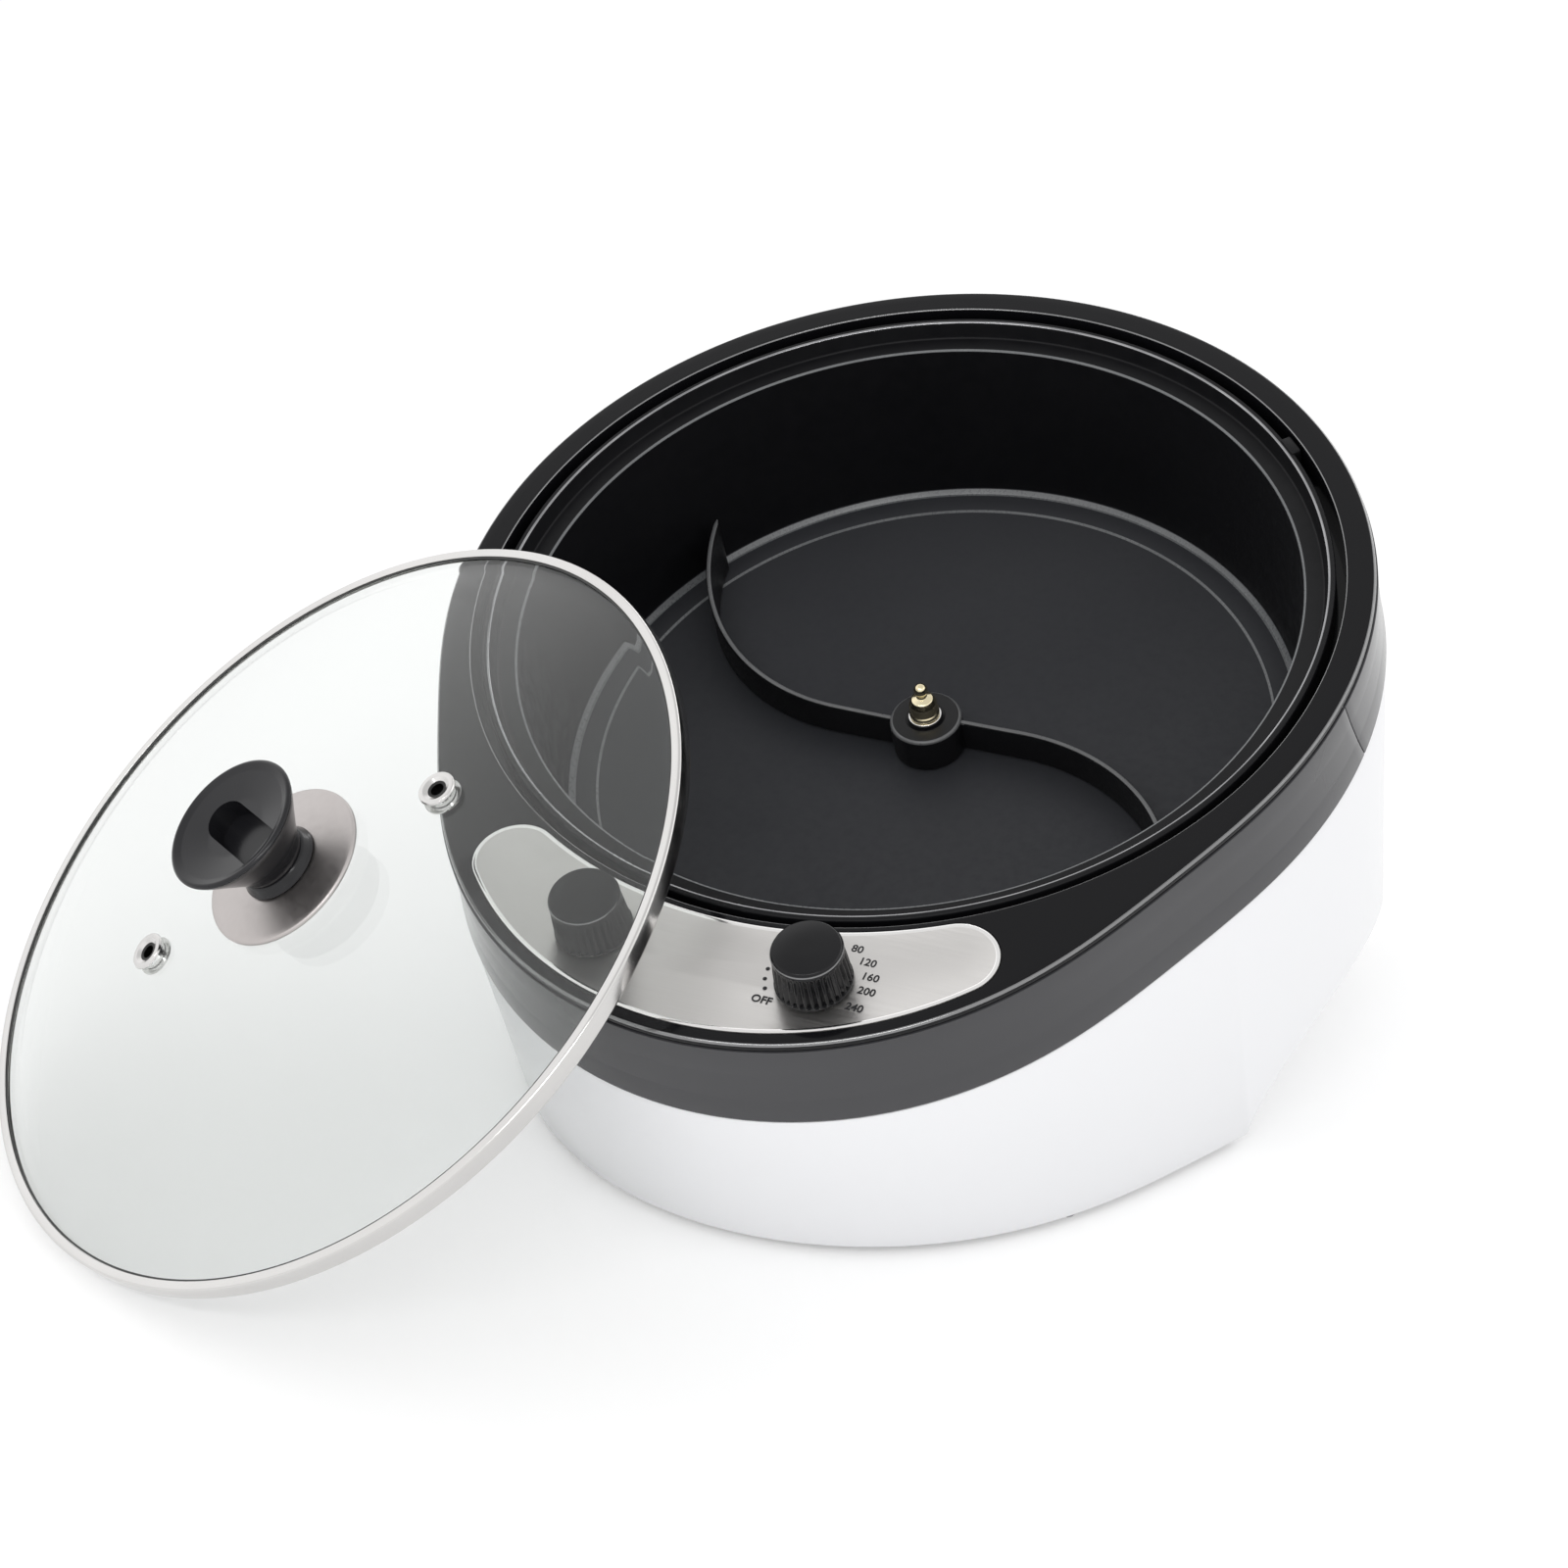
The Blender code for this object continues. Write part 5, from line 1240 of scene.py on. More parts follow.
@dataclass
class StirringArm:
    """The hub with two curved arms, its washer and its ball-tipped nut."""

    shop: Workshop
    plan: DeckPlan
    floor: float = -0.0715
    hub_radius: float = 0.012
    hub_bottom: float = -0.0709
    hub_top: float = -0.0579
    straight: float = 0.032
    start: float = -0.002
    curve: float = 0.070
    sweep: float = math.radians(85.0)
    thick: float = 0.002
    low_gap: float = 0.002
    root: float = 0.0125
    tip: float = 0.024
    power: float = 2.6
    stations: int = 72
    overrun: float = 0.003
    sharp: float = 40.0
    bore: float = 0.0033
    hub_edge: float = 0.0008
    hub_round: float = 0.0016
    hub_steps: int = 96
    dish_radius: float = 0.0066
    dish_foot: float = 0.0062
    gap: float = 0.0003
    lift_start: float = 0.094
    lift_run: float = 0.018
    low_share: float = 0.4
    end_share: float = 0.015
    blunt_share: float = 0.05
    foot_round: float = 0.0004
    top_round: float = 0.0009
    rim_outside: float = 0.0005
    rim_inside: float = 0.0011
    rim_slopes: Spot = (0.25, 0.95)
    top_slope: float = 0.75
    washer_radius: float = 0.0055
    washer_tall: float = 0.001
    washer_rounds: Spot = (0.0002, 0.0003)
    washer_steps: int = 64

    def _station(self, distance: float) -> tuple[Vector, Vector]:
        """Follow the left arm's middle line.

        Args:
            distance: Distance along it from the shaft's axis.

        Returns:
            The place there and the direction across the arm.
        """
        if distance <= self.straight:
            return Vector((-distance, self.start)), Vector((0.0, 1.0))
        angle = (distance - self.straight) / self.curve
        side = Vector((math.sin(angle), math.cos(angle)))
        return Vector((-self.straight, self.start + self.curve)) - self.curve * side, side

    def _arm(self, turn: float) -> bmesh.types.BMesh:
        """Make one arm: a strip on edge with a round top and a round end.

        Args:
            turn: 1 for the left arm and -1 for the right one.

        Returns:
            The arm's mesh.
        """
        first = self.hub_radius / 3.0
        length = self.straight + self.curve * self.sweep
        rings = []
        for index in range(self.stations + 1):
            share = index / self.stations
            spot, side = self._station(first + (length - first) * share)
            lift = min(max((spot.length - self.lift_start) / self.lift_run, 0.0), 1.0)
            low = self.floor + self.low_gap * (self.low_share + (1.0 - self.low_share) * lift)
            high = self.floor + self.root + (self.tip - self.root) * share ** self.power
            near_tip = max(0.0, (share - (1.0 - self.end_share)) / self.end_share)
            width = self.thick / 2.0 * math.sqrt(max(self.blunt_share, 1.0 - near_tip ** 2))
            corners = [(-width, low, self.foot_round), (width, low, self.foot_round),
                       (width, high, self.top_round), (-width, high, self.top_round)]
            ring = []
            for across, height in Shape.rounded(corners):
                point = (spot + side * across) * turn
                ring.append((point.x, point.y, height))
            rings.append(ring)
        return Shape.skin(rings)

    def _on_highlight_edge(self, centre: Vector, normal: Vector) -> bool:
        """Tell whether a face lies on the arm's upper edge or the hub's rounded rim, which carry a
        painted highlight.

        Args:
            centre: The face's centre.
            normal: The face's normal.

        Returns:
            Whether it does.
        """
        reach = math.hypot(centre.x, centre.y)
        if reach < self.hub_radius + self.rim_outside:
            on_slope = self.rim_slopes[0] < normal.z < self.rim_slopes[1]
            return reach > self.hub_radius - self.rim_inside and on_slope
        return normal.z > self.top_slope and centre.z > self.floor + self.root / 2.0

    def build(self) -> None:
        """Build and dress the arm, the washer, the nut and the shaft."""
        place, top = self.plan.place, self.hub_top
        corners = [(self.bore, self.hub_bottom, 0),
                   (self.hub_radius, self.hub_bottom, self.hub_edge),
                   (self.hub_radius, top, self.hub_round), (self.dish_radius, top, self.gap),
                   (self.dish_foot, top - self.gap, 0), (self.bore, top - self.gap, 0)]
        hub = self.shop.loose("stirring_arm_hub", Shape.turned(corners, self.hub_steps), place)
        for turn in (1.0, -1.0):
            self.shop.cut(hub, self.shop.loose("arm", self._arm(turn), place), "UNION")
        self.shop.drill(hub, place, self.bore, (top + self.overrun,
                                                self.hub_bottom - self.overrun))
        self.shop.coat(hub, ARM_BLACK, self.sharp)
        # Painted highlight along the arms' tops and the hub's rim.
        self.shop.line(hub, ARM_HIGHLIGHT, self._on_highlight_edge)
        self.shop.settle(hub, Body.ARM, "matte_black", ["stirrer"])
        foot, head = top + self.gap, top + self.gap + self.washer_tall
        fine, soft = self.washer_rounds
        corners = [(self.bore, foot, 0), (self.washer_radius, foot, fine),
                   (self.washer_radius, head, soft), (self.bore, head, fine)]
        self.shop.piece("steel_washer", Shape.turned(corners, self.washer_steps), BRIGHT_STEEL,
                        Body.ARM, "steel", place, ["stirrer_washer"])
        CapNut(self.shop, place, head + self.gap).build()
        self.shop.dress("drive_shaft", BRIGHT_STEEL)


@dataclass
class CapNut:
    """The rounded brass nut with its ball tip."""

    shop: Workshop
    place: Matrix
    foot: float
    bore: float = 0.0033
    bore_depth: float = 0.005
    flange: Spot = (0.0050, 0.0014)
    neck: Spot = (0.0046, 0.0019)
    body: Spot = (0.0047, 0.0052)
    shoulder: Spot = (0.0036, 0.0072)
    stem: float = 0.0016
    tall: float = 0.008
    stem_tall: float = 0.0012
    ball: float = 0.00235
    ball_rise: float = 0.00172
    rounds: tuple[float, ...] = (0.0002, 0.0004, 0.0003, 0.0003, 0.0016, 0.001, 0.0004)
    arc_steps: int = 16
    steps: int = 64
    sharp: float = 60.0

    def build(self) -> None:
        """Build the nut."""
        foot, top = self.foot, self.foot + self.tall
        sides = [(self.bore, 0.0), (self.flange[0], 0.0), self.flange, self.neck, self.body,
                 self.shoulder, (self.stem, self.tall)]
        corners = [(0.0, foot + self.bore_depth, 0), (self.bore, foot + self.bore_depth, 0)]
        corners += [(reach, foot + rise, edge) for (reach, rise), edge in zip(sides, self.rounds)]
        corners.append((self.stem, top + self.stem_tall, 0.0))
        profile = Shape.rounded(corners, closed=False)
        centre = top + self.stem_tall + self.ball_rise
        waist = math.asin(self.stem / self.ball)
        for index in range(1, self.arc_steps):
            angle = waist + (math.pi - waist) * index / self.arc_steps
            profile.append((self.ball * math.sin(angle), centre - self.ball * math.cos(angle)))
        profile.append((0.0, centre + self.ball))
        self.shop.piece("ball_nut", Shape.lathe(profile, self.steps), NUT_BRASS, Body.ARM,
                        "brass", self.place, ["cap_nut"], self.sharp)


@dataclass
class ControlKnob:
    """One fluted control knob."""

    shop: Workshop
    plan: DeckPlan
    body: Body
    node: str
    side: float
    foot: float = 0.0008
    height: float = 0.0156
    skirt: float = 0.0115
    neck: float = 0.0106
    crown: float = 0.0098
    flutes: int = 32
    flute: float = 0.0008
    flute_sides: int = 8
    flute_power: float = 1.5
    fade_share: float = 0.6
    hair: float = 0.0002
    fine: float = 0.0003
    edge: float = 0.0005
    skirt_band: float = 0.0009
    flute_foot: float = 0.0011
    flare_low: float = 0.0030
    flare_high: float = 0.0075
    shoulder: float = 0.0030
    flute_end: float = 0.0010
    chamfer_low: float = 0.0013
    chamfer_high: float = 0.0009
    core: float = 0.002
    socket: float = 0.0033
    socket_top: float = 0.010
    overrun: float = 0.003
    sharp: float = 38.0

    def _ring(self, radius: float, height: float, depth: float) -> list[Point]:
        """Give a ring with rounded flutes.

        Args:
            radius: Radius outside the flutes.
            height: Height over the deck.
            depth: Depth of the flutes.

        Returns:
            The ring's points.
        """
        ring = []
        count = self.flutes * self.flute_sides
        for index in range(count):
            angle = math.tau * index / count
            wave = 0.5 - 0.5 * math.cos(self.flutes * angle)
            reach = radius - depth * wave ** self.flute_power
            ring.append((reach * math.cos(angle), reach * math.sin(angle), height))
        return ring

    def _on_chamfer_highlight(self, centre: Vector, normal: Vector) -> bool:
        """Tell whether a face lies on the lower edge of the chamfer round the flat top, painted as a
        highlight line.
        """
        return self.height - self.chamfer_low < centre.z < self.height - self.chamfer_high

    def build(self) -> None:
        """Build and dress the knob."""
        foot, top, shoulder = self.foot, self.height, self.height - self.shoulder
        skirt, neck, crown, flute = self.skirt, self.neck, self.crown, self.flute
        sections = [
            (skirt - self.edge, foot, 0.0), (skirt, foot + self.fine, 0.0),
            (skirt, foot + self.skirt_band, 0.0), (skirt - self.hair, foot + self.flute_foot, flute),
            (skirt - self.fine, foot + self.flare_low, flute),
            (neck + self.fine, foot + self.flare_high, flute),
            (neck, shoulder - self.flute_end, flute), (neck, shoulder, flute * self.fade_share),
            (neck, shoulder + self.edge, 0.0), (neck, top - self.chamfer_low, 0.0),
            (neck - self.hair, top - self.chamfer_high, 0.0),
            (crown + self.hair, top - self.hair, 0.0), (crown - self.hair, top, 0.0),
            (self.core, top, 0.0)]
        rings = [self._ring(radius, height, depth) for radius, height, depth in sections]
        place = self.plan.place @ Matrix.Translation(self.plan.knob_spot(self.side))
        knob = self.shop.loose(self.node + "_fluted", Shape.skin(rings), place)
        self.shop.drill(knob, place, self.socket, (foot - self.overrun, self.socket_top))
        self.shop.coat(knob, KNOB_BLACK, self.sharp)
        # Painted highlight line at the foot of the chamfer.
        self.shop.line(knob, KNOB_HIGHLIGHT, self._on_chamfer_highlight)
        self.shop.settle(knob, self.body, "gloss_black", [self.node])


@dataclass
class Lid:
    """The domed glass lid with its rim, vents, plate and dished knob."""

    shop: Workshop
    place: Matrix
    radius: float = 0.13005
    glass: float = 0.0038
    dome: float = 0.0195
    rim_width: float = 0.0034
    rim_wall: float = 0.0008
    seat_reach: float = 0.1242
    seat_dome: float = 0.018
    fit: float = 0.0003
    bore: float = 0.0035
    vent_place: float = 0.055
    vent_turn: float = math.radians(57.5)
    plate_radius: float = 0.0272
    plate_wall: float = 0.0012
    shade_bead: float = 0.0006
    shade_share: float = 0.6
    steps: int = 256
    origin_rise: float = 0.003
    arc_steps: int = 40
    rim_round: float = 0.0009
    hair: float = 0.0001
    fine: float = 0.0002
    soft: float = 0.0003
    vent_hole: float = 0.0045
    vent_ends: Spot = (0.003, -0.008)
    vent_hole_steps: int = 48
    vent_bore: float = 0.0021
    vent_flange: float = 0.0062
    vent_neck: float = 0.0042
    vent_lip: float = 0.0058
    vent_brow: float = 0.0044
    vent_throat: float = 0.0030
    vent_tall: float = 0.0009
    vent_rounds: Spot = (0.0004, 0.0005)
    vent_bore_shade: float = 0.0036
    vent_steps: int = 64
    hole: float = 0.0019
    plate_edge: Corner = (0.0002, 0.0008, 0.0005)
    plate_drop: float = 0.001
    plate_arc_steps: int = 16
    plate_steps: int = 128
    sharp: float = 50.0
    glass_sharp: float = 60.0

    def _sphere(self, reach: float, dome: float) -> Spot:
        """Fit a dome on the rim's seat.

        Args:
            reach: Radius of the seat.
            dome: Height of the dome over the rim's plane.

        Returns:
            The sphere's centre height and radius.
        """
        rise = dome + self.rim_wall + self.fit
        radius = (reach ** 2 + rise ** 2) / (2.0 * rise)
        return dome - radius, radius

    @property
    def outer(self) -> Spot:
        """Give the outer sphere's centre height and radius."""
        return self._sphere(self.radius - self.rim_width, self.dome)

    @property
    def seat(self) -> Spot:
        """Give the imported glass's outer sphere, which sets the knob's height."""
        return self._sphere(self.seat_reach, self.seat_dome)

    @property
    def inner(self) -> Spot:
        """Give the inner sphere's centre height and radius."""
        centre, radius = self.seat
        return centre, radius - self.glass

    @staticmethod
    def height(reach: float, sphere: Spot) -> float:
        """Give a sphere's height over the rim's plane."""
        return sphere[0] + math.sqrt(sphere[1] ** 2 - reach ** 2)

    @staticmethod
    def find_place() -> Matrix:
        """Find the lid's place from the rim and the knob's plate of the frame.

        Returns:
            The lid's matrix, with the vents' line at its angle from the local X axis.
        """
        rim, plate = Lid._middle("lid_rim"), Lid._middle("knob_plate")
        normal = (plate - rim).normalized()
        level = Vector((normal.x, normal.y, 0.0)).normalized()
        across = Vector((-level.y, level.x, 0.0))
        turn = Matrix((across, normal.cross(across), normal)).transposed().to_4x4()
        return Matrix.Translation(rim + normal * Lid.origin_rise) @ turn

    @staticmethod
    def _middle(node: str) -> Vector:
        """Find the middle of a round node from its surface.

        Args:
            node: Name of the node.

        Returns:
            The middle.
        """
        total, weight = Vector(), 0.0
        for face in bpy.data.objects[node].data.polygons:
            total += face.center * face.area
            weight += face.area
        return total / weight

    def build(self) -> None:
        """Build and dress the lid's pieces."""
        self._build_glass()
        self._build_rim()
        self._build_vents()
        self._build_plate()
        LidKnob(self).build()
        self.shop.dress("lid_screw", RIM_STEEL)
        self.shop.dress("lid_washer", RUBBER)

    def _vent_matrix(self, index: int) -> Matrix:
        """Give the place of a vent on the dome's outer face.

        Args:
            index: Number of the vent, 0 or 1.

        Returns:
            The vent's matrix.
        """
        centre, radius = self.outer
        turn = Matrix.Rotation(self.vent_turn + math.pi * index, 4, "Z")
        lean = Matrix.Rotation(math.asin(self.vent_place / radius), 4, "Y")
        up = Matrix.Translation((0.0, 0.0, radius))
        return self.place @ Matrix.Translation((0.0, 0.0, centre)) @ turn @ lean @ up

    def arc(self, start: float, end: float, sphere: Spot, steps: int) -> list[Spot]:
        """Follow a sphere between two distances from the axis.

        Args:
            start: First distance.
            end: Last distance.
            sphere: Centre height and radius.
            steps: Number of steps.

        Returns:
            The points as distances and heights.
        """
        reaches = [start + (end - start) * index / steps for index in range(steps + 1)]
        return [(reach, self.height(reach, sphere)) for reach in reaches]

    def _build_glass(self) -> None:
        """Build the domed glass with its three holes."""
        edge = self.radius - self.rim_wall - self.fit
        top = -(self.rim_wall + self.fit)
        bottom = top - self.glass
        inner_reach = math.sqrt(self.inner[1] ** 2 - (bottom - self.inner[0]) ** 2)
        profile: list[Spot] = [(edge, bottom), (edge, top)]
        profile += self.arc(self.radius - self.rim_width, self.bore, self.outer, self.arc_steps)
        profile += self.arc(self.bore, inner_reach, self.inner, self.arc_steps)
        glass = self.shop.loose("domed_glass", Shape.lathe(profile, self.steps), self.place)
        for index in range(2):
            self.shop.drill(glass, self._vent_matrix(index), self.vent_hole, self.vent_ends,
                            steps=self.vent_hole_steps)
        self.shop.coat(glass, LID_GLASS, self.glass_sharp)
        self.shop.settle(glass, Body.LID, "lid_glass", ["lid_glass"])

    def _build_rim(self) -> None:
        """Build the rolled steel rim and a dark ring inside it, which is painted shade where the rim
        meets the glass.
        """
        low = -self.glass - 2.0 * (self.rim_wall + self.fit)
        inner = self.radius - self.rim_width + self.fit
        wall, core = self.rim_wall, self.radius - self.rim_wall
        corners = [(self.radius, low, self.rim_round), (self.radius, 0.0, self.rim_round),
                   (inner, 0.0, self.soft), (inner, -wall, self.hair), (core, -wall, 0),
                   (core, low + wall, 0), (inner, low + wall, self.hair), (inner, low, self.soft)]
        self.shop.piece("rolled_rim", Shape.turned(corners, self.steps), RIM_STEEL, Body.LID,
                        "steel", self.place, ["lid_rim"], self.sharp)
        # A thin dark ring, painted shade along the rim's inner edge.
        bead, under = self.shade_bead, inner - self.hair
        top = -wall + self.shade_share * bead
        corners = [(under, -wall, 0), (under - bead, -wall, bead / 2.0),
                   (under - bead, top, bead / 2.0), (under, top, 0)]
        self.shop.piece("rim_shade_ring", Shape.turned(corners, self.steps), RIM_SHADE_BLACK, Body.LID,
                        "rubber", self.place)

    def _build_vents(self) -> None:
        """Build the two steel vent rings."""
        thick = self.height(self.vent_place, self.outer)
        thick -= self.height(self.vent_place, self.inner)
        below, fit, flange = -thick - self.fit, self.fit, self.vent_flange
        low, high = below - self.vent_tall, fit + self.vent_tall
        soft, full = self.vent_rounds
        corners = [
            (self.vent_bore, low, self.soft), (flange, low, soft), (flange, below, self.hair),
            (self.vent_neck, below, 0), (self.vent_neck, fit, 0), (flange, fit, self.fine),
            (self.vent_lip, high, soft), (self.vent_brow, high, full),
            (self.vent_throat, fit + self.hair, soft), (self.vent_bore, fit, self.fine)]
        for index, label in enumerate(("a", "b")):
            ring = self.shop.piece("vent_%s_ring" % label, Shape.turned(corners, self.vent_steps),
                                   RIM_STEEL, Body.LID, "steel", self._vent_matrix(index),
                                   ["vent_ring_" + label], self.sharp)
            # Painted shade in the vent's bore.
            self.shop.line(ring, VENT_BORE_SHADE, self._in_vent_shade)

    def _in_vent_shade(self, centre: Vector, normal: Vector) -> bool:
        """Tell whether a face lies in a vent's bore, which is painted dark as shade."""
        return math.hypot(centre.x, centre.y) < self.vent_bore_shade

    def _build_plate(self) -> None:
        """Build the round plate under the knob, which follows the dome."""
        hole, radius, steps = self.hole, self.plate_radius, self.plate_arc_steps
        under = [(reach, height + self.fit)
                 for reach, height in self.arc(hole, radius, self.outer, steps)]
        middle, edge = under[0][1], under[-1][1]
        rim, shoulder, rise = self.plate_edge
        profile = under + [(radius, edge + rise), (radius - rim, edge + self.plate_drop),
                           (radius - shoulder, edge + self.plate_wall)]
        for index in range(1, steps + 1):
            reach = radius - shoulder + (hole - radius + shoulder) * index / steps
            share = 1.0 - (reach / radius) ** 2
            profile.append((reach, edge + self.plate_wall + (middle - edge) * share))
        self.shop.piece("round_plate", Shape.lathe(profile, self.plate_steps), PLATE_STEEL,
                        Body.LID, "steel", self.place, ["knob_plate"], self.sharp)


@dataclass
class LidKnob:
    """The lid's dished knob with its finger slot, and the collar under it."""

    lid: Lid
    waist: float = 0.0111
    waist_rise: float = 0.005
    collar_foot: float = 0.0131
    collar_neck: Spot = (0.0124, 0.0011)
    collar_flare: Spot = (0.0004, 0.0006)
    collar_rounds: Spot = (0.0010, 0.0020)
    collar_steps: int = 96
    tall: float = 0.0198
    crown: float = 0.0226
    side_shares: tuple[Spot, ...] = ((0.08, 0.03), (0.30, 0.26), (0.58, 0.58), (0.85, 0.90))
    side_round: float = 0.010
    top_edge: float = 0.0008
    top_round: float = 0.0010
    rim_inset: float = 0.0012
    dish_inset: float = 0.0036
    dish_middle: float = 0.0100
    dish_drops: Corner = (0.0010, 0.0030, 0.0034)
    dish_rounds: Spot = (0.003, 0.008)
    screw_depth: float = 0.006
    slot_half: float = 0.0066
    slot_back: float = -0.0060
    slot_ends: Spot = (-0.0100, 0.004)
    slot_front: float = 0.0120
    slot_margin: float = 0.0006
    slot_steps: int = 24
    steps: int = 160
    sharp: float = 32.0
    bevel: float = 0.0005
    bevel_angle: float = 45.0

    def build(self) -> None:
        """Build the collar and the knob."""
        lid = self.lid
        hole, fine, lift = lid.hole, lid.soft, 2.0 * lid.fit + lid.plate_wall
        foot = lid.height(hole, lid.outer) + lift
        waist = lid.height(hole, lid.seat) + lift + self.waist_rise
        out, down = self.collar_flare
        corners = [(hole, foot, 0), (self.collar_foot, foot, fine),
                   (self.collar_neck[0], foot + self.collar_neck[1], self.collar_rounds[0]),
                   (self.waist + out, waist - down, self.collar_rounds[1]),
                   (self.waist - lid.fine, waist, 0), (hole, waist, 0)]
        lid.shop.piece("foot_collar", Shape.turned(corners, self.collar_steps), LID_KNOB_BLACK,
                       Body.LID, "gloss_black", lid.place, ["knob_collar"], lid.sharp)
        base = waist + lid.fit
        top = base + self.tall
        flare, crown = self.crown - self.waist, self.crown
        corners = [(hole, base, 0), (self.waist, base, fine)]
        corners += [(self.waist + flare * out, base + self.tall * up, self.side_round)
                    for up, out in self.side_shares]
        rim, middle, low = (top - drop for drop in self.dish_drops)
        corners += [(crown, top - self.top_edge, self.top_round),
                    (crown - self.rim_inset, top, self.top_round),
                    (crown - self.dish_inset, rim, self.dish_rounds[0]),
                    (self.dish_middle, middle, self.dish_rounds[1]), (0.0, low, 0),
                    (0.0, base + self.screw_depth, 0), (hole, base + self.screw_depth, 0)]
        knob = lid.shop.loose("dished_knob", Shape.turned(corners, self.steps), lid.place)
        lid.shop.cut(knob, lid.shop.loose("slot", self._slot(top), lid.place))
        lid.shop.coat(knob, LID_KNOB_BLACK, self.sharp)
        lid.shop.soften(knob, self.bevel, self.bevel_angle)
        lid.shop.settle(knob, Body.LID, "gloss_black", ["lid_knob"])

    def _slot(self, top: float) -> bmesh.types.BMesh:
        """Make the cutter of the finger slot, which widens upwards to the rim.

        Args:
            top: Height of the knob's top.

        Returns:
            The cutter's mesh.
        """
        half, rings = self.slot_half, []
        for height, end in zip(self.slot_ends, (self.slot_front, self.crown - self.slot_margin)):
            z = top + height
            ring: list[Point] = [(end, half, z)]
            for index in range(self.slot_steps + 1):
                angle = math.pi / 2.0 + math.pi * index / self.slot_steps
                ring.append((self.slot_back + half * math.cos(angle), half * math.sin(angle), z))
            ring.append((end, -half, z))
            rings.append(ring)
        return Shape.skin(rings)


@dataclass
class InnerParts:
    """The heater, the drive and the wiring parts, which stay as the frame has them."""

    shop: Workshop
    finishes: dict[str, Finish] = field(default_factory=lambda: {
        "heating_element": CASE_STEEL,
        "heat_shield": ALUMINIUM,
        "gear_motor": CASE_STEEL,
        "motor_hanger": RIM_STEEL,
        "motor_screw_1": RIM_STEEL,
        "motor_screw_2": RIM_STEEL,
        "thermostat": CREAM,
        "stir_switch": COVER_BLACK,
        "heat_spindle": RIM_STEEL,
        "stir_spindle": RIM_STEEL,
        "thermal_fuse": CREAM,
        "terminal_block": CREAM,
    })

    def build(self) -> None:
        """Dress each inner node."""
        for node, finish in self.finishes.items():
            self.shop.dress(node, finish)
            LOG.info("%s dressed", node)


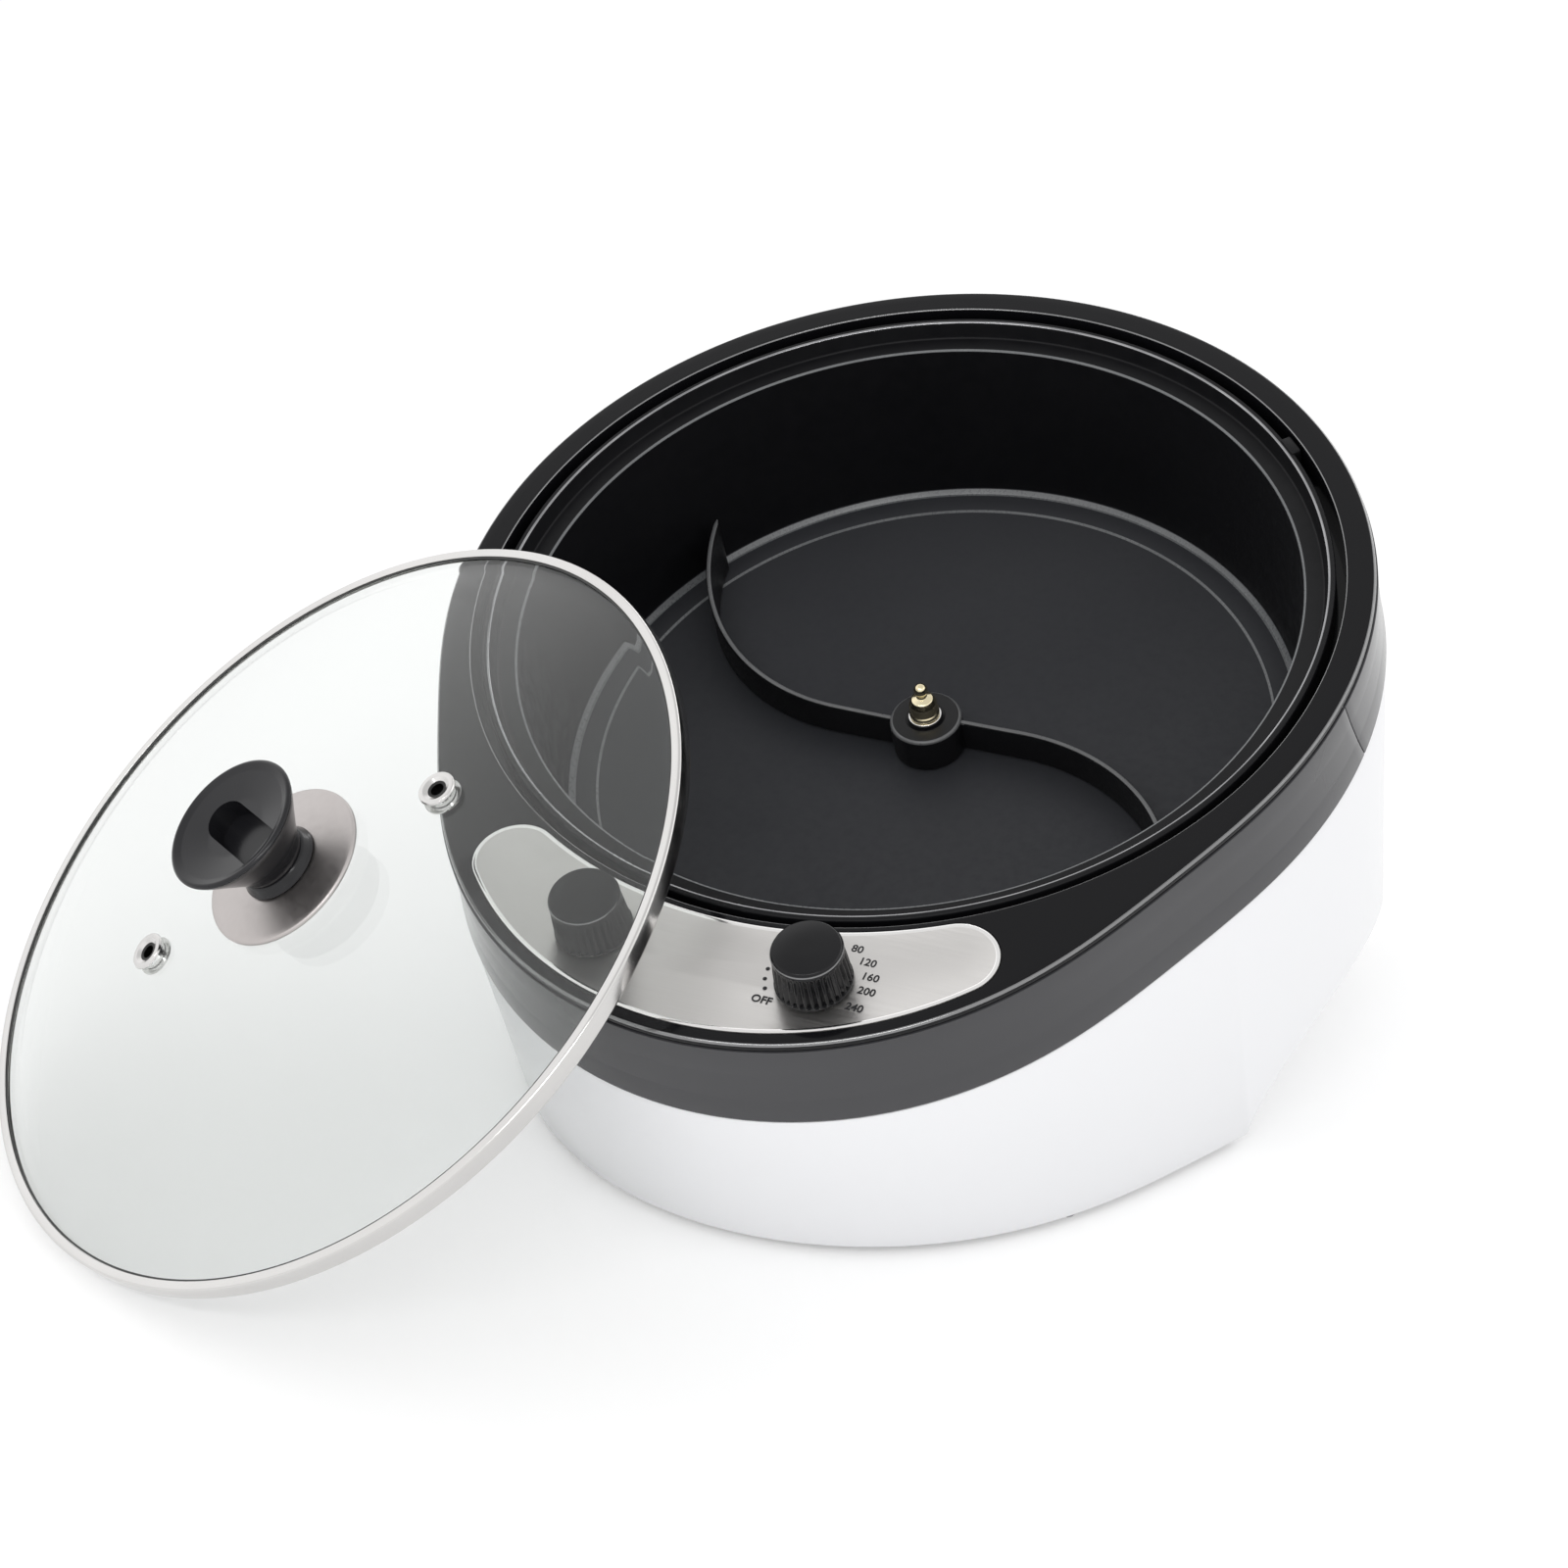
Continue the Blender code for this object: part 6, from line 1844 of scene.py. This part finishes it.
@dataclass
class Studio:
    """The pale floor, the soft light and the camera at the photograph's angle."""

    camera: Point = (0.3569, -0.8572, 0.5537)
    elevation: float = 26.47
    turn: float = 24.9
    lens: float = 73.2
    ambient: float = 0.96
    overhead: float = 0.80
    band: float = 1.2
    floor_grey: float = 0.85
    seen_grey: float = 0.66
    floor_glow: float = 0.36
    floor_reach: float = 6.0
    white: Colour = (1.0, 1.0, 1.0, 1.0)
    band_rise: Spot = (0.05, 0.45)
    band_fall: Spot = (0.62, 0.88)
    sensor: float = 36.0
    nearest: float = 0.01
    aim: Point = (0.0, -0.03, 0.10)
    strip: Spot = (1.3, 0.12)
    strips: tuple[tuple[str, Point, float], ...] = (
        ("front_strip", (0.15, -1.25, 1.15), 5.0),
        ("right_strip", (1.25, 0.55, 0.95), 0.8),
        ("back_strip", (0.05, 1.35, 0.95), 1.5),
    )

    def build(self) -> None:
        """Set up camera, world, floor and lamps."""
        self._build_camera()
        self._build_world()
        self._build_floor()
        for name, place, power in self.strips:
            self._build_strip(name, place, power)
        bpy.context.scene.view_settings.view_transform = "Standard"

    def _build_camera(self) -> None:
        """Place the camera."""
        data = bpy.data.cameras.new("photo_camera")
        data.lens = self.lens
        data.sensor_width = self.sensor
        data.clip_start = self.nearest
        thing = bpy.data.objects.new("photo_camera", data)
        bpy.context.scene.collection.objects.link(thing)
        thing.location = self.camera
        thing.rotation_euler = (math.radians(90.0 - self.elevation), 0.0,
                                math.radians(self.turn))
        bpy.context.scene.camera = thing

    def _build_strip(self, name: str, place: Point, power: float) -> None:
        """Hang one long soft lamp that faces the part.

        Args:
            name: Name of the lamp.
            place: Its place.
            power: Its power in watts.
        """
        data = bpy.data.lights.new(name, "AREA")
        data.shape = "RECTANGLE"
        data.size, data.size_y = self.strip
        data.energy = power
        thing = bpy.data.objects.new(name, data)
        bpy.context.scene.collection.objects.link(thing)
        thing.location = place
        run = Vector(self.aim) - Vector(place)
        thing.rotation_euler = run.to_track_quat("-Z", "Y").to_euler()

    @staticmethod
    def _sum(tree: Node, operation: str, first: Node, second: Node) -> Node:
        """Add a node that combines two values.

        Args:
            tree: Node tree.
            operation: Name of the sum.
            first: Output of the first value.
            second: Output of the second value.

        Returns:
            The output of the result.
        """
        node = add_node(tree, "Math", links={0: first, 1: second})
        node.operation = operation
        return node.outputs["Value"]

    @staticmethod
    def _ramp(tree: Node, value: Node, span: Spot, levels: Spot) -> Node:
        """Add a soft ramp.

        Args:
            tree: Node tree.
            value: Output of the value.
            span: Values at which the ramp starts and ends.
            levels: Results there.

        Returns:
            The output of the result.
        """
        ends = {"From Min": span[0], "From Max": span[1], "To Min": levels[0],
                "To Max": levels[1]}
        node = add_node(tree, "MapRange", ends, {"Value": value})
        node.interpolation_type = "SMOOTHSTEP"
        return node.outputs["Result"]

    @staticmethod
    def _blend(tree: Node, share: Node, first: Node, second: Node) -> Node:
        """Add a blend of two shaders and give its output."""
        return add_node(tree, "MixShader", links={"Fac": share, 1: first, 2: second}).outputs[0]

    def _build_world(self) -> None:
        """Make an even white room, whose gloss shows a soft band under a calmer ceiling."""
        world = bpy.data.worlds.new("pale_room")
        bpy.context.scene.world = world
        world.use_nodes = True
        tree = world.node_tree
        tree.nodes.clear()
        place = add_node(tree, "TexCoord").outputs["Generated"]
        height = add_node(tree, "SeparateXYZ", links={"Vector": place}).outputs["Z"]
        rise = self._ramp(tree, height, self.band_rise, (1.0, self.band))
        fall = self._ramp(tree, height, self.band_fall, (0.0, self.band - self.overhead))
        gloss = add_node(tree, "Background", {"Color": self.white},
                         {"Strength": self._sum(tree, "SUBTRACT", rise, fall)})
        even, bare = (add_node(tree, "Background", {"Color": self.white, "Strength": level})
                      for level in (self.ambient, 1.0))
        paths = add_node(tree, "LightPath").outputs
        shader = self._blend(tree, paths["Is Glossy Ray"], even.outputs["Background"],
                             gloss.outputs["Background"])
        seen = self._sum(tree, "MAXIMUM", paths["Is Camera Ray"], paths["Is Transmission Ray"])
        shader = self._blend(tree, seen, shader, bare.outputs["Background"])
        add_node(tree, "OutputWorld", links={"Surface": shader})

    def _build_floor(self) -> None:
        """Lay the pale floor that keeps the object's shadow."""
        bm = bmesh.new()
        bmesh.ops.create_grid(bm, x_segments=1, y_segments=1, size=self.floor_reach)
        mesh = bpy.data.meshes.new("pale_floor")
        bm.to_mesh(mesh)
        bm.free()
        floor = bpy.data.objects.new("pale_floor", mesh)
        bpy.context.scene.collection.objects.link(floor)
        material = bpy.data.materials.new("pale_floor")
        material.use_nodes = True
        tree = material.node_tree
        tree.nodes.clear()
        matt, shown = (add_node(tree, "BsdfDiffuse", {"Color": (grey, grey, grey, 1.0)})
                       for grey in (self.floor_grey, self.seen_grey))
        glow = add_node(tree, "Emission", {"Strength": self.floor_glow})
        lit = add_node(tree, "AddShader", links={0: shown.outputs["BSDF"],
                                                 1: glow.outputs["Emission"]})
        paths = add_node(tree, "LightPath").outputs
        seen = self._sum(tree, "MAXIMUM", paths["Is Camera Ray"], paths["Is Transmission Ray"])
        seen = self._sum(tree, "MAXIMUM", seen, paths["Is Glossy Ray"])
        shader = self._blend(tree, seen, matt.outputs["BSDF"], lit.outputs["Shader"])
        add_node(tree, "OutputMaterial", links={"Surface": shader})
        mesh.materials.append(material)


def write_sizes() -> None:
    """Update the view layer.
    """
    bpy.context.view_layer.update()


def main() -> None:
    """Build each sub-assembly in order."""
    logging.basicConfig(level=logging.INFO, format="%(name)s: %(message)s")
    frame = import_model()
    shop = Workshop(frame)
    plan = DeckPlan.from_joint(frame["joints"], "stirrer_turn")
    Studio().build()
    Housing(shop, plan).build()
    Deck(shop, plan).build()
    Bowl(shop, plan).build()
    StirringArm(shop, plan).build()
    ControlKnob(shop, plan, Body.HEAT, "heat_knob", 1.0).build()
    ControlKnob(shop, plan, Body.STIR, "stir_knob", -1.0).build()
    Lid(shop, Lid.find_place()).build()
    InnerParts(shop).build()
    LOG.info("%d pieces added", shop.count)
    write_sizes()


if __name__ == "__main__":
    main()
